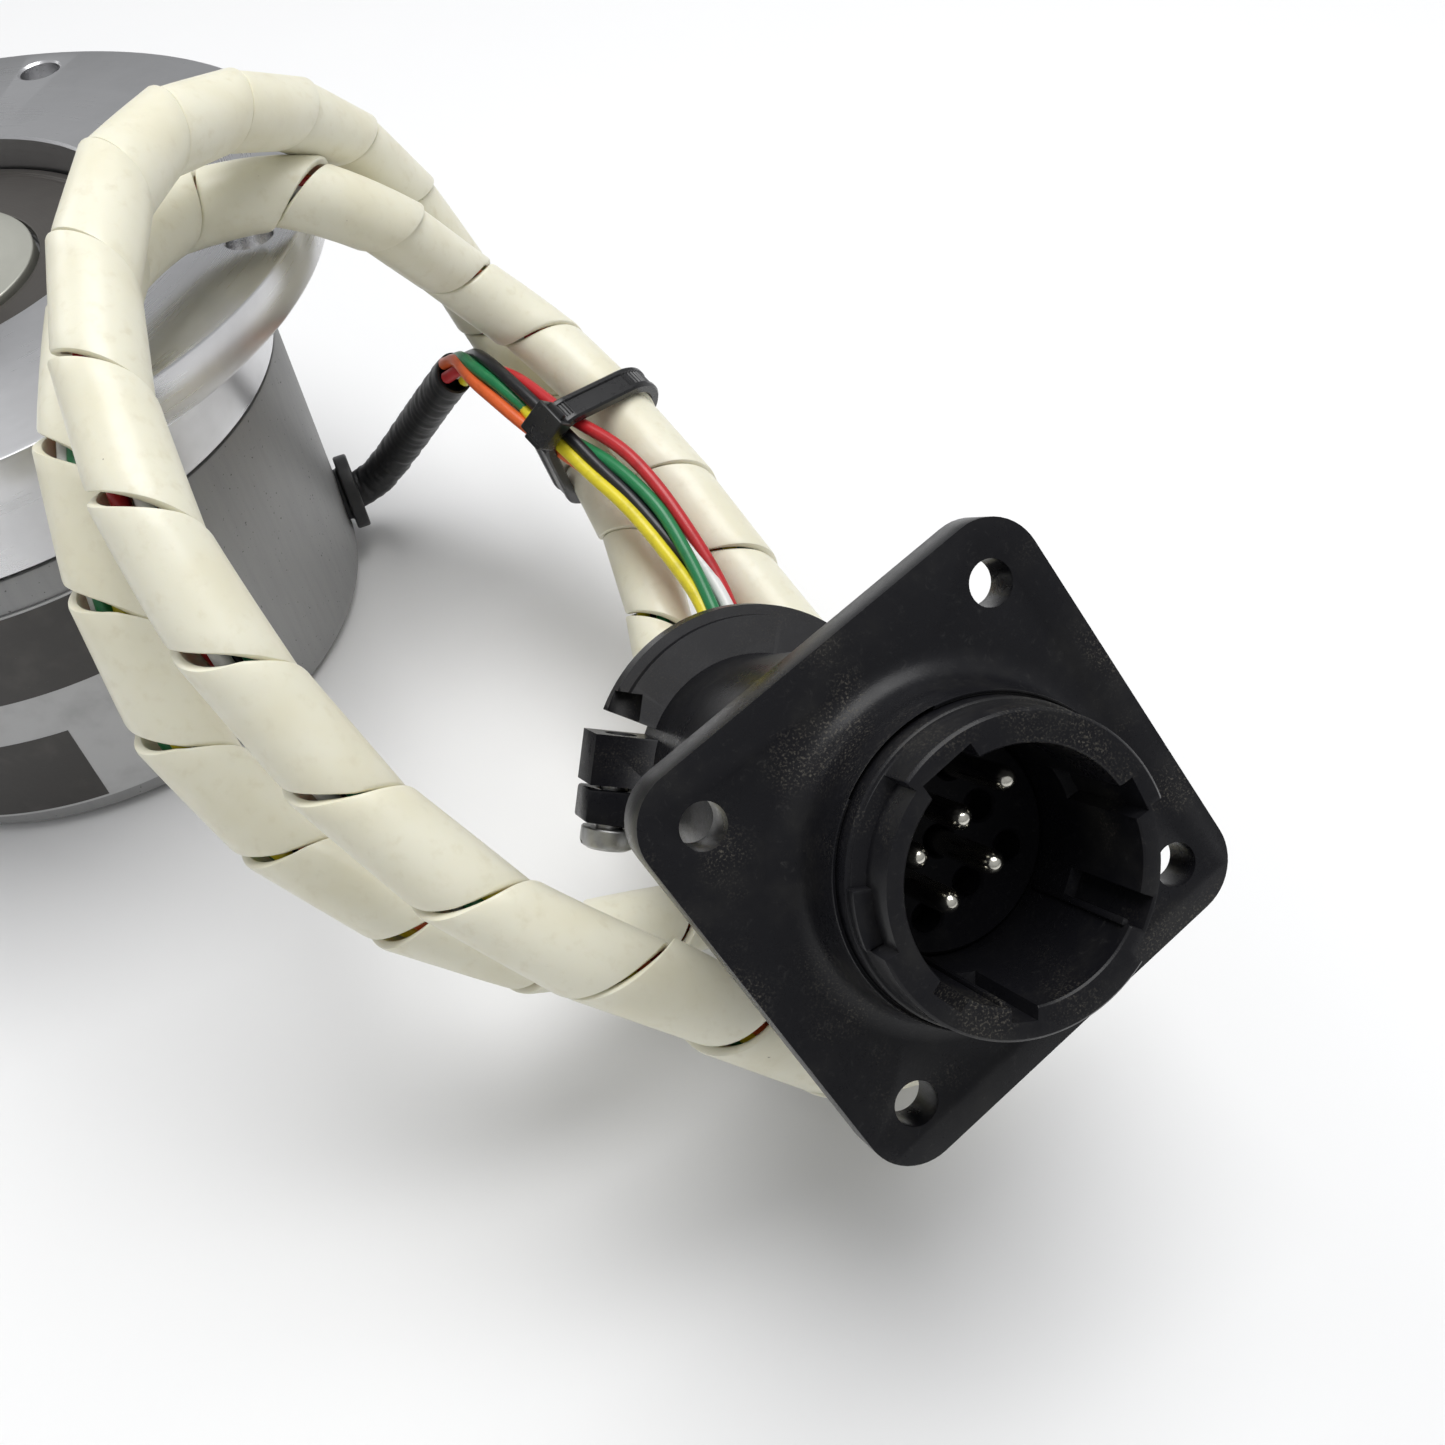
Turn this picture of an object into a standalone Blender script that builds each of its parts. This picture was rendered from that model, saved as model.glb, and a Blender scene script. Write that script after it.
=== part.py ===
"""Incremental rotary encoder with a spiral-wrapped flying lead and a square-flange connector.

Metres, +Z up along the shaft. The origin is the middle of the cover's base, on the bench.
"""
import math

import bmesh
import bpy
import numpy as np
from mathutils import Matrix, Vector

MM = 0.001

# Driving dimensions, in millimetres
FLANGE_R = 41.275
FLANGE_T = 4.8
FACE_Z = 49.6
BODY_R = 31.75
SEAM_Z = 32.4
COVER_WALL = 1.45
RECESS_R = 21.8
RECESS_Z = 44.6
FACE_HOLE_R = 2.2
FACE_HOLE_PITCH_R = 36.75
FACE_HOLE_AZIMUTH = 84.0
SHAFT_R = 4.76
SHAFT_TOP_Z = 68.0
SHAFT_END_Z = 14.0
BEARING_OUTER_R = 11.11
BEARING_W = 7.14
BALL_R = 1.95
BALL_PITCH_R = 8.0
FRONT_BEARING_Z = 37.3
REAR_BEARING_Z = 26.0
DISC_Z = 17.2
DISC_R = 21.0
BOARD_Z = 11.6
BOARD_T = 1.6
BOARD_R = 28.2
POST_R = 2.0
POST_PITCH_R = 26.3
GROMMET_AZIMUTH = 22.0
GROMMET_Z = 6.5
SLEEVE_D = 4.3
WIRE_D = 1.3
WIRE_RING_R = 1.4
WRAP_D = 6.35
TIE_W = 2.8
TIE_T = 1.1
GAP = 0.3
ROUND = 56
SMALL_ROUND = 24

# Connector: the plate's front middle, its two edges' directions and the way it faces
PLATE_POS = (93.63, -72.64, 42.55)
PLATE_X = (0.4916, -0.3893, -0.7790)
PLATE_Y = (0.7817, 0.5915, 0.1978)
PLATE_W = 30.8
PLATE_T = 2.8
PLATE_CORNER_R = 3.6
PLATE_HOLE_R = 1.5
PLATE_HOLE_SPACING = 23.01
SHELL_R = 9.525
SHELL_BORE_R = 7.55
SHELL_FRONT = 9.0
LEDGE_R = 9.85
LEDGE_Z = 6.2
BOSS_R = 10.2
BOSS_Z = 5.1
LUG_GAP_R = 8.65
LUG_GAPS = ((17.0, 78.0), (196.0, 258.0))
INSERT_FACE = -2.0
PIN_PITCH = 3.5
PIN_R = 0.785
PIN_TIP = 5.6
PIN_PLACES = ((-1, 1), (-1, 0), (-1, -1), (0, 0), (0, -1))
SHELL_REAR = -13.5
CLAMP_FRONT = -13.8
CLAMP_RING_FRONT = -35.3
CLAMP_REAR = -38.0
CLAMP_RING_R = 13.6
CLAMP_BORE_R = 7.4

# Cord routes, in millimetres: points chosen along each piece of the lead
SLEEVE_ROUTE = (
    (27.4, 11.1, 6.5), (30.0, 12.1, 6.5), (32.4, 13.0, 6.8), (35.0, 13.4, 8.6),
    (38.0, 12.7, 12.0), (41.5, 10.6, 16.6), (45.5, 7.4, 22.2), (49.3, 4.4, 27.3),
)
WIRE_ROUTE = (
    (49.6, 4.1, 27.7), (50.7, 3.0, 29.1), (53.2, 0.2, 30.6), (57.2, -4.0, 30.9),
    (60.5, -7.5, 30.0), (63.0, -10.0, 29.0), (68.5, -16.0, 27.0), (72.5, -21.5, 24.5),
    (75.5, -26.0, 21.5), (77.5, -30.5, 19.0), (79.4, -34.0, 15.8), (80.5, -35.9, 13.2),
)
WRAP_ROUTE = (
    (80.8, -36.4, 12.4), (81.3, -40.0, 8.4), (79.8, -44.5, 6.2), (77.6, -49.0, 6.6),
    (75.0, -53.2, 9.6), (71.6, -57.2, 13.6), (67.5, -60.4, 16.8), (63.5, -62.2, 18.2),
    (59.0, -62.6, 20.3), (53.3, -61.7, 23.5), (48.0, -60.0, 27.0), (42.5, -57.2, 31.3),
    (37.5, -53.0, 37.0), (34.2, -47.3, 43.5), (32.2, -40.7, 49.6), (31.4, -34.0, 53.6),
    (30.8, -26.5, 55.6), (30.7, -18.7, 56.1), (31.9, -12.0, 55.5), (35.2, -7.0, 54.4),
    (40.8, -4.7, 53.8), (45.8, -3.0, 51.0), (49.4, 0.4, 45.6), (52.2, 3.4, 39.6),
    (56.4, 4.0, 34.4), (61.6, 1.2, 30.4), (67.0, -4.5, 27.2), (72.0, -11.0, 24.2),
    (76.7, -17.6, 20.8), (81.4, -24.3, 16.9), (86.6, -31.3, 13.4), (92.3, -38.4, 9.4),
    (96.6, -46.5, 5.8), (97.4, -55.0, 4.2), (94.2, -63.3, 5.8), (88.0, -68.8, 10.6),
    (81.6, -70.6, 16.6), (76.3, -70.6, 22.2), (71.5, -70.5, 26.8), (66.5, -69.9, 30.6),
    (61.2, -68.0, 34.5), (56.5, -65.6, 38.6), (52.5, -63.0, 43.1), (49.0, -60.1, 48.0),
    (45.5, -56.3, 52.9), (42.4, -51.2, 57.0), (39.5, -44.3, 60.4), (37.4, -36.2, 63.4),
    (36.4, -28.0, 65.1), (36.8, -19.8, 65.6), (39.0, -12.0, 64.3), (42.0, -4.4, 61.0),
    (44.8, 3.0, 55.0), (47.4, 8.9, 46.2), (49.6, 11.6, 37.4), (52.8, 10.4, 29.6),
    (57.3, 5.2, 24.2), (62.0, -1.9, 21.3), (65.5, -8.8, 19.8), (68.0, -15.0, 18.5),
    (69.8, -21.2, 16.9), (71.0, -28.0, 15.0), (72.9, -34.6, 14.2), (75.4, -40.0, 15.9),
    (79.0, -46.0, 20.0), (82.0, -51.6, 24.7), (85.1, -57.3, 29.5),
)
TIE_POS = (64.5, -5.9, 25.6)
TIE_AIM = (0.62, -0.70, -0.35)


def clear_scene():
    for thing in list(bpy.data.objects):
        bpy.data.objects.remove(thing)


def finish_material(name, color, roughness, metallic):
    material = bpy.data.materials.new(name)
    material.use_nodes = True
    shader = material.node_tree.nodes["Principled BSDF"]
    shader.inputs["Base Color"].default_value = (*color, 1.0)
    shader.inputs["Roughness"].default_value = roughness
    shader.inputs["Metallic"].default_value = metallic
    material.diffuse_color = (*color, 1.0)
    return material


FINISHES = {
    "machined_aluminium": ((0.62, 0.63, 0.64), 0.32, 0.9),
    "cast_cover": ((0.36, 0.37, 0.38), 0.55, 0.7),
    "dark_anodised": ((0.07, 0.065, 0.06), 0.55, 0.3),
    "polished_hub": ((0.66, 0.66, 0.60), 0.35, 0.7),
    "shaft_steel": ((0.60, 0.60, 0.61), 0.22, 1.0),
    "bearing_steel": ((0.55, 0.56, 0.58), 0.25, 1.0),
    "brass": ((0.72, 0.56, 0.28), 0.35, 1.0),
    "spring_steel": ((0.40, 0.41, 0.43), 0.35, 1.0),
    "clear_disc": ((0.80, 0.84, 0.86), 0.10, 0.0),
    "black_moulding": ((0.03, 0.03, 0.032), 0.5, 0.0),
    "board_green": ((0.05, 0.25, 0.12), 0.5, 0.0),
    "label_black": ((0.08, 0.075, 0.07), 0.45, 0.0),
    "soft_black": ((0.02, 0.02, 0.02), 0.7, 0.0),
    "wrap_cream": ((0.80, 0.76, 0.60), 0.45, 0.0),
    "connector_black": ((0.025, 0.025, 0.028), 0.45, 0.0),
    "pin_plate": ((0.70, 0.68, 0.60), 0.2, 1.0),
    "screw_zinc": ((0.58, 0.58, 0.56), 0.35, 1.0),
    "wire_orange": ((0.72, 0.16, 0.05), 0.45, 0.0),
    "wire_red": ((0.60, 0.04, 0.04), 0.45, 0.0),
    "wire_green": ((0.03, 0.26, 0.10), 0.45, 0.0),
    "wire_black": ((0.02, 0.02, 0.02), 0.45, 0.0),
    "wire_white": ((0.80, 0.80, 0.78), 0.45, 0.0),
    "wire_yellow": ((0.78, 0.66, 0.04), 0.45, 0.0),
}


def dress(thing, finish, parent=None, sharp=35.0):
    color, roughness, metallic = FINISHES[finish]
    thing.data.materials.append(finish_material(thing.name, color, roughness, metallic))
    if thing.type == "MESH":
        thing.data.shade_smooth()
        thing.data.set_sharp_from_angle(angle=math.radians(sharp))
    if parent is not None:
        thing.parent = parent
    return thing


def link(name, data):
    thing = bpy.data.objects.new(name, data)
    bpy.context.scene.collection.objects.link(thing)
    return thing


def mesh_object(name, verts, faces):
    """A mesh from millimetre points, its faces turned outwards."""
    mesh = bpy.data.meshes.new(name)
    mesh.from_pydata([Vector(v) * MM for v in verts], [], faces)
    shape = bmesh.new()
    shape.from_mesh(mesh)
    bmesh.ops.recalc_face_normals(shape, faces=shape.faces)
    shape.to_mesh(mesh)
    shape.free()
    return link(name, mesh)


def turned(name, profile, steps=ROUND):
    """Turn an outline of (radius, height) points about Z; radius 0 at both ends closes it on the axis."""
    on_axis = profile[0][0] == 0.0
    verts = []
    rings = []
    for radius, height in profile:
        start = len(verts)
        if radius == 0.0:
            verts.append((0.0, 0.0, height))
            rings.append([start] * steps)
            continue
        for i in range(steps):
            angle = 2.0 * math.pi * i / steps
            verts.append((radius * math.cos(angle), radius * math.sin(angle), height))
        rings.append(list(range(start, start + steps)))
    if not on_axis:
        rings.append(rings[0])
    faces = []
    for low, high in zip(rings, rings[1:]):
        for i in range(steps):
            j = (i + 1) % steps
            corner = []
            for index in (low[i], low[j], high[j], high[i]):
                if index not in corner:
                    corner.append(index)
            faces.append(corner)
    return mesh_object(name, verts, faces)


def ring(name, inner, outer, low, high, steps=SMALL_ROUND, chamfer=0.2):
    profile = [
        (inner, low), (outer - chamfer, low), (outer, low + chamfer),
        (outer, high - chamfer), (outer - chamfer, high), (inner, high),
    ]
    return turned(name, profile, steps)


def rod(name, radius, low, high, steps=24, chamfer=0.2):
    profile = [
        (0.0, low), (radius - chamfer, low), (radius, low + chamfer),
        (radius, high - chamfer), (radius - chamfer, high), (0.0, high),
    ]
    return turned(name, profile, steps)


def prism(name, outline, low, high):
    """Extrude an outline of (x, y) points from one height to another."""
    count = len(outline)
    verts = [(x, y, low) for x, y in outline] + [(x, y, high) for x, y in outline]
    faces = [list(range(count)), list(range(count, 2 * count))]
    for i in range(count):
        j = (i + 1) % count
        faces.append([i, j, j + count, i + count])
    return mesh_object(name, verts, faces)


def block(name, x, y, z):
    """A box between pairs of limits."""
    outline = [(x[0], y[0]), (x[1], y[0]), (x[1], y[1]), (x[0], y[1])]
    return prism(name, outline, z[0], z[1])


def arc_block(name, inner, outer, low, high, start, end, steps):
    """A piece of ring between two azimuths in degrees."""
    angles = [math.radians(start + (end - start) * i / steps) for i in range(steps + 1)]
    outline = [(outer * math.cos(a), outer * math.sin(a)) for a in angles]
    outline += [(inner * math.cos(a), inner * math.sin(a)) for a in reversed(angles)]
    count = len(outline)
    verts = [(x, y, low) for x, y in outline] + [(x, y, high) for x, y in outline]
    faces = []
    for i in range(count):
        j = (i + 1) % count
        faces.append([i, j, j + count, i + count])
    last = count - 1
    for i in range(steps):
        faces.append([i, i + 1, last - i - 1, last - i])
        faces.append([count + i, count + i + 1, count + last - i - 1, count + last - i])
    return mesh_object(name, verts, faces)


def rounded_square(width, corner, steps=6):
    half = width / 2.0 - corner
    outline = []
    for quarter, (sx, sy) in enumerate(((1, 1), (-1, 1), (-1, -1), (1, -1))):
        for i in range(steps + 1):
            angle = math.radians(90.0 * (quarter + i / steps))
            outline.append((sx * half + corner * math.cos(angle), sy * half + corner * math.sin(angle)))
    return outline


def combine(target, tool, operation):
    """Cut a tool out of a shape, or join it on, and apply it."""
    tool.hide_render = True
    tool.display_type = "WIRE"
    modifier = target.modifiers.new(operation.lower(), "BOOLEAN")
    modifier.operation = operation
    modifier.solver = "EXACT"
    modifier.object = tool
    bpy.context.view_layer.update()
    graph = bpy.context.evaluated_depsgraph_get()
    result = bpy.data.meshes.new_from_object(target.evaluated_get(graph))
    target.modifiers.clear()
    target.data = result
    bpy.data.objects.remove(tool)
    return target


def cut(target, *tools):
    for tool in tools:
        combine(target, tool, "DIFFERENCE")
    return target


def join(target, *tools):
    for tool in tools:
        combine(target, tool, "UNION")
    return target


def place(thing, location=(0.0, 0.0, 0.0), azimuth=0.0, matrix=None):
    """Put a shape at a millimetre place, turned about Z or by a matrix."""
    turn = Matrix.Rotation(math.radians(azimuth), 4, "Z") if matrix is None else matrix
    thing.matrix_world = Matrix.Translation(Vector(location) * MM) @ turn
    return thing


def polar(radius, azimuth, height=0.0):
    angle = math.radians(azimuth)
    return (radius * math.cos(angle), radius * math.sin(angle), height)


def smooth_path(route, count):
    """Even points on a natural cubic spline through the route's points."""
    points = np.array(route, dtype=float)
    chord = np.linalg.norm(np.diff(points, axis=0), axis=1) ** 0.7
    knots = np.concatenate(([0.0], np.cumsum(chord)))
    size = len(points)
    matrix = np.eye(size)
    right = np.zeros((size, 3))
    for i in range(1, size - 1):
        before = knots[i] - knots[i - 1]
        after = knots[i + 1] - knots[i]
        matrix[i, i - 1:i + 2] = (before, 2.0 * (before + after), after)
        slope_in = (points[i] - points[i - 1]) / before
        slope_out = (points[i + 1] - points[i]) / after
        right[i] = 6.0 * (slope_out - slope_in)
    curvature = np.linalg.solve(matrix, right)
    dense = []
    for i in range(size - 1):
        span = knots[i + 1] - knots[i]
        for t in np.linspace(0.0, 1.0, 24, endpoint=(i == size - 2)):
            a = 1.0 - t
            value = a * points[i] + t * points[i + 1]
            value = value + ((a ** 3 - a) * curvature[i] + (t ** 3 - t) * curvature[i + 1]) * span ** 2 / 6.0
            dense.append(value)
    dense = np.array(dense)
    run = np.concatenate(([0.0], np.cumsum(np.linalg.norm(np.diff(dense, axis=0), axis=1))))
    even = np.linspace(0.0, run[-1], count)
    return np.stack([np.interp(even, run, dense[:, k]) for k in range(3)], axis=1)


def tube(name, points, diameter, resolution):
    """A solid cord along millimetre points."""
    curve = bpy.data.curves.new(name, "CURVE")
    curve.dimensions = "3D"
    curve.bevel_depth = diameter / 2.0 * MM
    curve.bevel_resolution = resolution
    curve.use_fill_caps = True
    spline = curve.splines.new("POLY")
    spline.points.add(len(points) - 1)
    for target, point in zip(spline.points, points):
        target.co = (*(Vector(point) * MM), 1.0)
    return link(name, curve)


def side_frames(points):
    """Two directions across each point of a path, carried along without twisting."""
    tangents = np.gradient(points, axis=0)
    tangents /= np.linalg.norm(tangents, axis=1)[:, None]
    across = np.cross(tangents[0], (0.0, 0.0, 1.0))
    across /= np.linalg.norm(across)
    frames = []
    for tangent in tangents:
        across = across - tangent * np.dot(across, tangent)
        across /= np.linalg.norm(across)
        frames.append((across.copy(), np.cross(tangent, across)))
    return frames


def face_hole_places():
    return [FACE_HOLE_AZIMUTH + 90.0 * i for i in range(4)]


def make_flange():
    under = FACE_Z - FLANGE_T
    profile = [
        (RECESS_R, FACE_Z), (FLANGE_R - 0.4, FACE_Z), (FLANGE_R, FACE_Z - 0.4),
        (FLANGE_R, under + 0.4), (FLANGE_R - 0.4, under), (BODY_R, under),
        (BODY_R, SEAM_Z + 0.3), (30.0, SEAM_Z + 0.3), (30.0, 30.6), (29.0, 30.6),
        (29.0, 29.0), (30.0, 29.0), (30.0, 27.0), (24.0, 27.0), (24.0, 40.5),
        (14.5, 40.5), (14.5, 23.6), (BEARING_OUTER_R + 0.1, 23.6),
        (BEARING_OUTER_R + 0.1, 33.4), (10.0, 33.4), (10.0, 37.1),
        (BEARING_OUTER_R + 0.1, 37.1), (BEARING_OUTER_R + 0.1, RECESS_Z), (RECESS_R, RECESS_Z),
    ]
    flange = turned("mounting_flange", profile)
    for azimuth in face_hole_places():
        hole = rod("hole", FACE_HOLE_R, under - 1.0, FACE_Z + 1.0, 20)
        cut(flange, place(hole, polar(FACE_HOLE_PITCH_R, azimuth)))
    dress(flange, "machined_aluminium")
    dress(ring("dust_ring", 13.15, RECESS_R - GAP, RECESS_Z + GAP, 46.2, 40), "dark_anodised")


def make_rotor():
    profile = [
        (0.0, SHAFT_END_Z), (SHAFT_R - 0.5, SHAFT_END_Z), (SHAFT_R, SHAFT_END_Z + 0.5),
        (SHAFT_R, SHAFT_TOP_Z - 0.8), (SHAFT_R - 0.8, SHAFT_TOP_Z), (0.0, SHAFT_TOP_Z),
    ]
    dress(turned("shaft", profile, SMALL_ROUND), "shaft_steel")
    dress(ring("shaft_hub", SHAFT_R + 0.15, 12.75, RECESS_Z + 0.35, 46.75, 40), "polished_hub")
    dress(ring("bearing_spacer", SHAFT_R + 0.15, 6.6, 33.5, 36.95), "brass")
    profile = [
        (SHAFT_R + 0.15, 18.2), (9.5, 18.2), (9.5, 19.4), (7.0, 19.4),
        (7.0, 22.6), (6.7, 22.9), (SHAFT_R + 0.15, 22.9),
    ]
    dress(turned("disc_hub", profile, 20), "machined_aluminium")
    dress(ring("code_disc", SHAFT_R + 0.2, DISC_R, DISC_Z, DISC_Z + 0.7, 36, 0.1), "clear_disc")


def make_bearing(side, low):
    high = low + BEARING_W
    middle = (low + high) / 2.0
    groove = 1.75
    outer = [
        (BALL_PITCH_R + 1.15, low), (BEARING_OUTER_R, low), (BEARING_OUTER_R, high),
        (BALL_PITCH_R + 1.15, high), (BALL_PITCH_R + 1.15, middle + groove),
        (BALL_PITCH_R + 1.9, middle + 0.8), (BALL_PITCH_R + 2.1, middle),
        (BALL_PITCH_R + 1.9, middle - 0.8), (BALL_PITCH_R + 1.15, middle - groove),
    ]
    inner = [
        (SHAFT_R + 0.15, low), (BALL_PITCH_R - 1.15, low),
        (BALL_PITCH_R - 1.15, middle - groove), (BALL_PITCH_R - 1.9, middle - 0.8),
        (BALL_PITCH_R - 2.1, middle), (BALL_PITCH_R - 1.9, middle + 0.8),
        (BALL_PITCH_R - 1.15, middle + groove), (BALL_PITCH_R - 1.15, high),
        (SHAFT_R + 0.15, high),
    ]
    dress(turned(side + "_bearing_outer", outer, SMALL_ROUND), "bearing_steel")
    dress(turned(side + "_bearing_inner", inner, SMALL_ROUND), "bearing_steel")
    cage = ring(side + "_bearing_balls", BALL_PITCH_R - 0.65, BALL_PITCH_R + 0.65,
                middle - 0.9, middle + 0.9, 32, 0.1)
    for i in range(8):
        arc = [math.radians(-90.0 + 45.0 * k) for k in range(5)]
        profile = [(max(BALL_R * math.cos(a), 0.0), BALL_R * math.sin(a)) for a in arc]
        profile[0] = (0.0, -BALL_R)
        profile[-1] = (0.0, BALL_R)
        ball = turned("ball", profile, 8)
        join(cage, place(ball, polar(BALL_PITCH_R, 45.0 * i, middle)))
    dress(cage, "brass")


def make_bearing_keeper():
    dress(ring("preload_washer", 9.7, BEARING_OUTER_R - GAP, 25.3, 25.7, chamfer=0.1), "spring_steel")
    dress(ring("retaining_ring", 9.6, BEARING_OUTER_R - 0.15, 24.2, 25.0, chamfer=0.1), "spring_steel")


def make_optics():
    """The fork that reads the disc, with its lamp above and its mask and sensor below."""
    top = 22.4
    fork = block("optical_fork", (-5.0, 5.0), (14.0, 25.6), (BOARD_Z + BOARD_T + GAP, top))
    cut(fork, block("slot", (-6.0, 6.0), (10.0, 22.4), (15.9, 18.9)))
    cut(fork, block("hub_room", (-6.0, 6.0), (10.0, 15.0), (15.5, 30.0)))
    cut(fork, place(rod("lamp_bore", 1.9, 18.0, 23.5, 12), (0.0, 18.5, 0.0)))
    cut(fork, block("sensor_pocket", (-2.8, 2.8), (16.2, 20.8), (14.3, 16.5)))
    dress(fork, "black_moulding")
    dress(place(rod("lamp", 1.6, 19.1, 23.0, 12), (0.0, 18.5, 0.0)), "clear_disc")
    dress(block("photo_sensor", (-2.5, 2.5), (16.5, 20.5), (14.6, 15.5)), "soft_black")
    dress(block("phase_mask", (-3.6, 3.6), (15.4, 21.8), (16.15, 16.75)), "clear_disc")


def make_board():
    board = rod("circuit_board", BOARD_R, BOARD_Z, BOARD_Z + BOARD_T, 32, 0.1)
    for i in range(3):
        spot = polar(POST_PITCH_R, 30.0 + 120.0 * i)
        cut(board, place(rod("hole", 1.25, BOARD_Z - 1.0, BOARD_Z + 3.0, 12, 0.1), spot))
    dress(board, "board_green")
    for i in range(3):
        spot = polar(POST_PITCH_R, 30.0 + 120.0 * i)
        post = rod("board_post_%d" % (i + 1), POST_R, BOARD_Z + BOARD_T + GAP, 26.7, 12)
        cut(post, rod("bore", 1.2, BOARD_Z, BOARD_Z + 7.0, 12, 0.1))
        dress(place(post, spot), "brass")
        low = BOARD_Z - 2.0
        profile = [
            (0.0, low), (1.9, low), (2.1, low + 0.3), (2.1, BOARD_Z - GAP), (0.95, BOARD_Z - GAP),
            (0.95, BOARD_Z + 6.0), (0.0, BOARD_Z + 6.0),
        ]
        screw = turned("board_screw_%d" % (i + 1), profile, 12)
        dress(place(screw, spot), "screw_zinc")
    header = block("wire_header", (9.0, 16.0), (-4.5, 4.5), (6.9, BOARD_Z - GAP))
    for i in range(6):
        y = -3.5 + 1.4 * i
        cut(header, block("way", (14.0, 17.0), (y - 0.4, y + 0.4), (8.2, 9.6)))
    dress(place(header, azimuth=GROMMET_AZIMUTH), "black_moulding")


def make_cover():
    wall = BODY_R - COVER_WALL
    profile = [
        (0.0, 0.0), (BODY_R - 2.6, 0.0), (BODY_R - 1.3, 0.35), (BODY_R - 0.35, 1.3),
        (BODY_R, 2.6), (BODY_R, SEAM_Z), (wall, SEAM_Z), (wall, 3.0), (wall - 1.2, 1.8), (0.0, 1.8),
    ]
    cover = turned("rear_cover", profile)
    turn = Matrix.Rotation(math.radians(GROMMET_AZIMUTH), 4, "Z") @ Matrix.Rotation(math.radians(90.0), 4, "Y")
    hole = place(rod("hole", 3.4, 20.0, 40.0, 24), (0.0, 0.0, GROMMET_Z), matrix=turn)
    cut(cover, hole)
    for azimuth in (70.0, -150.0):
        turn_screw = Matrix.Rotation(math.radians(azimuth), 4, "Z") @ Matrix.Rotation(math.radians(90.0), 4, "Y")
        hole = place(rod("hole", 1.3, 29.0, 40.0, 16, 0.1), (0.0, 0.0, 28.0), matrix=turn_screw)
        cut(cover, hole)
    dress(cover, "cast_cover")
    for i, azimuth in enumerate((70.0, -150.0)):
        turn_screw = Matrix.Rotation(math.radians(azimuth), 4, "Z") @ Matrix.Rotation(math.radians(90.0), 4, "Y")
        profile = [
            (0.0, 30.3), (1.0, 30.3), (1.0, 32.05), (2.3, 32.05), (2.3, 32.6), (1.7, 33.1), (0.0, 33.1),
        ]
        screw = turned("cover_screw_%d" % (i + 1), profile, 14)
        dress(place(screw, (0.0, 0.0, 28.0), matrix=turn_screw), "screw_zinc")
    dress(ring("cover_seal", 29.15, 30.15, 29.15, 30.45, 36, 0.3), "soft_black")
    label = arc_block("label_plate", BODY_R + 0.15, BODY_R + 0.35, 3.2, 28.9, -125.0, -57.0, 20)
    dress(label, "label_black")
    profile = [
        (2.5, 29.4), (3.1, 29.4), (3.1, 32.2), (4.45, 32.2), (4.45, 33.3), (4.0, 33.8), (2.5, 33.8),
    ]
    grommet = turned("cable_grommet", profile, 24)
    dress(place(grommet, (0.0, 0.0, GROMMET_Z), matrix=turn), "soft_black")


def make_lead():
    sleeve = smooth_path(SLEEVE_ROUTE, 10)
    dress(tube("cable_sleeve", sleeve, SLEEVE_D, 2), "soft_black")
    middle = smooth_path(WIRE_ROUTE, 13)
    frames = side_frames(middle)
    for i, color in enumerate(("red", "green", "black", "yellow", "orange", "white")):
        points = []
        for k, point in enumerate(middle):
            angle = math.radians(72.0 * i + 5.0 * k)
            radius = 0.0 if color == "white" else WIRE_RING_R
            across, up = frames[k]
            points.append(point + radius * (math.cos(angle) * across + math.sin(angle) * up))
        dress(tube("wire_" + color, points, WIRE_D, 2), "wire_" + color)
    dress(tube("spiral_wrap", smooth_path(WRAP_ROUTE, 66), WRAP_D, 3), "wrap_cream")


def crossing(route, plane_pos, plane_aim):
    """Where a route passes a plane nearest its middle."""
    points = smooth_path(route, 900)
    side = (points - plane_pos) @ plane_aim
    spots = []
    for i in range(len(points) - 1):
        near = np.linalg.norm(points[i] - plane_pos) < 12.0
        if near and side[i] * side[i + 1] <= 0.0:
            spots.append(points[i])
    return spots


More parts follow.
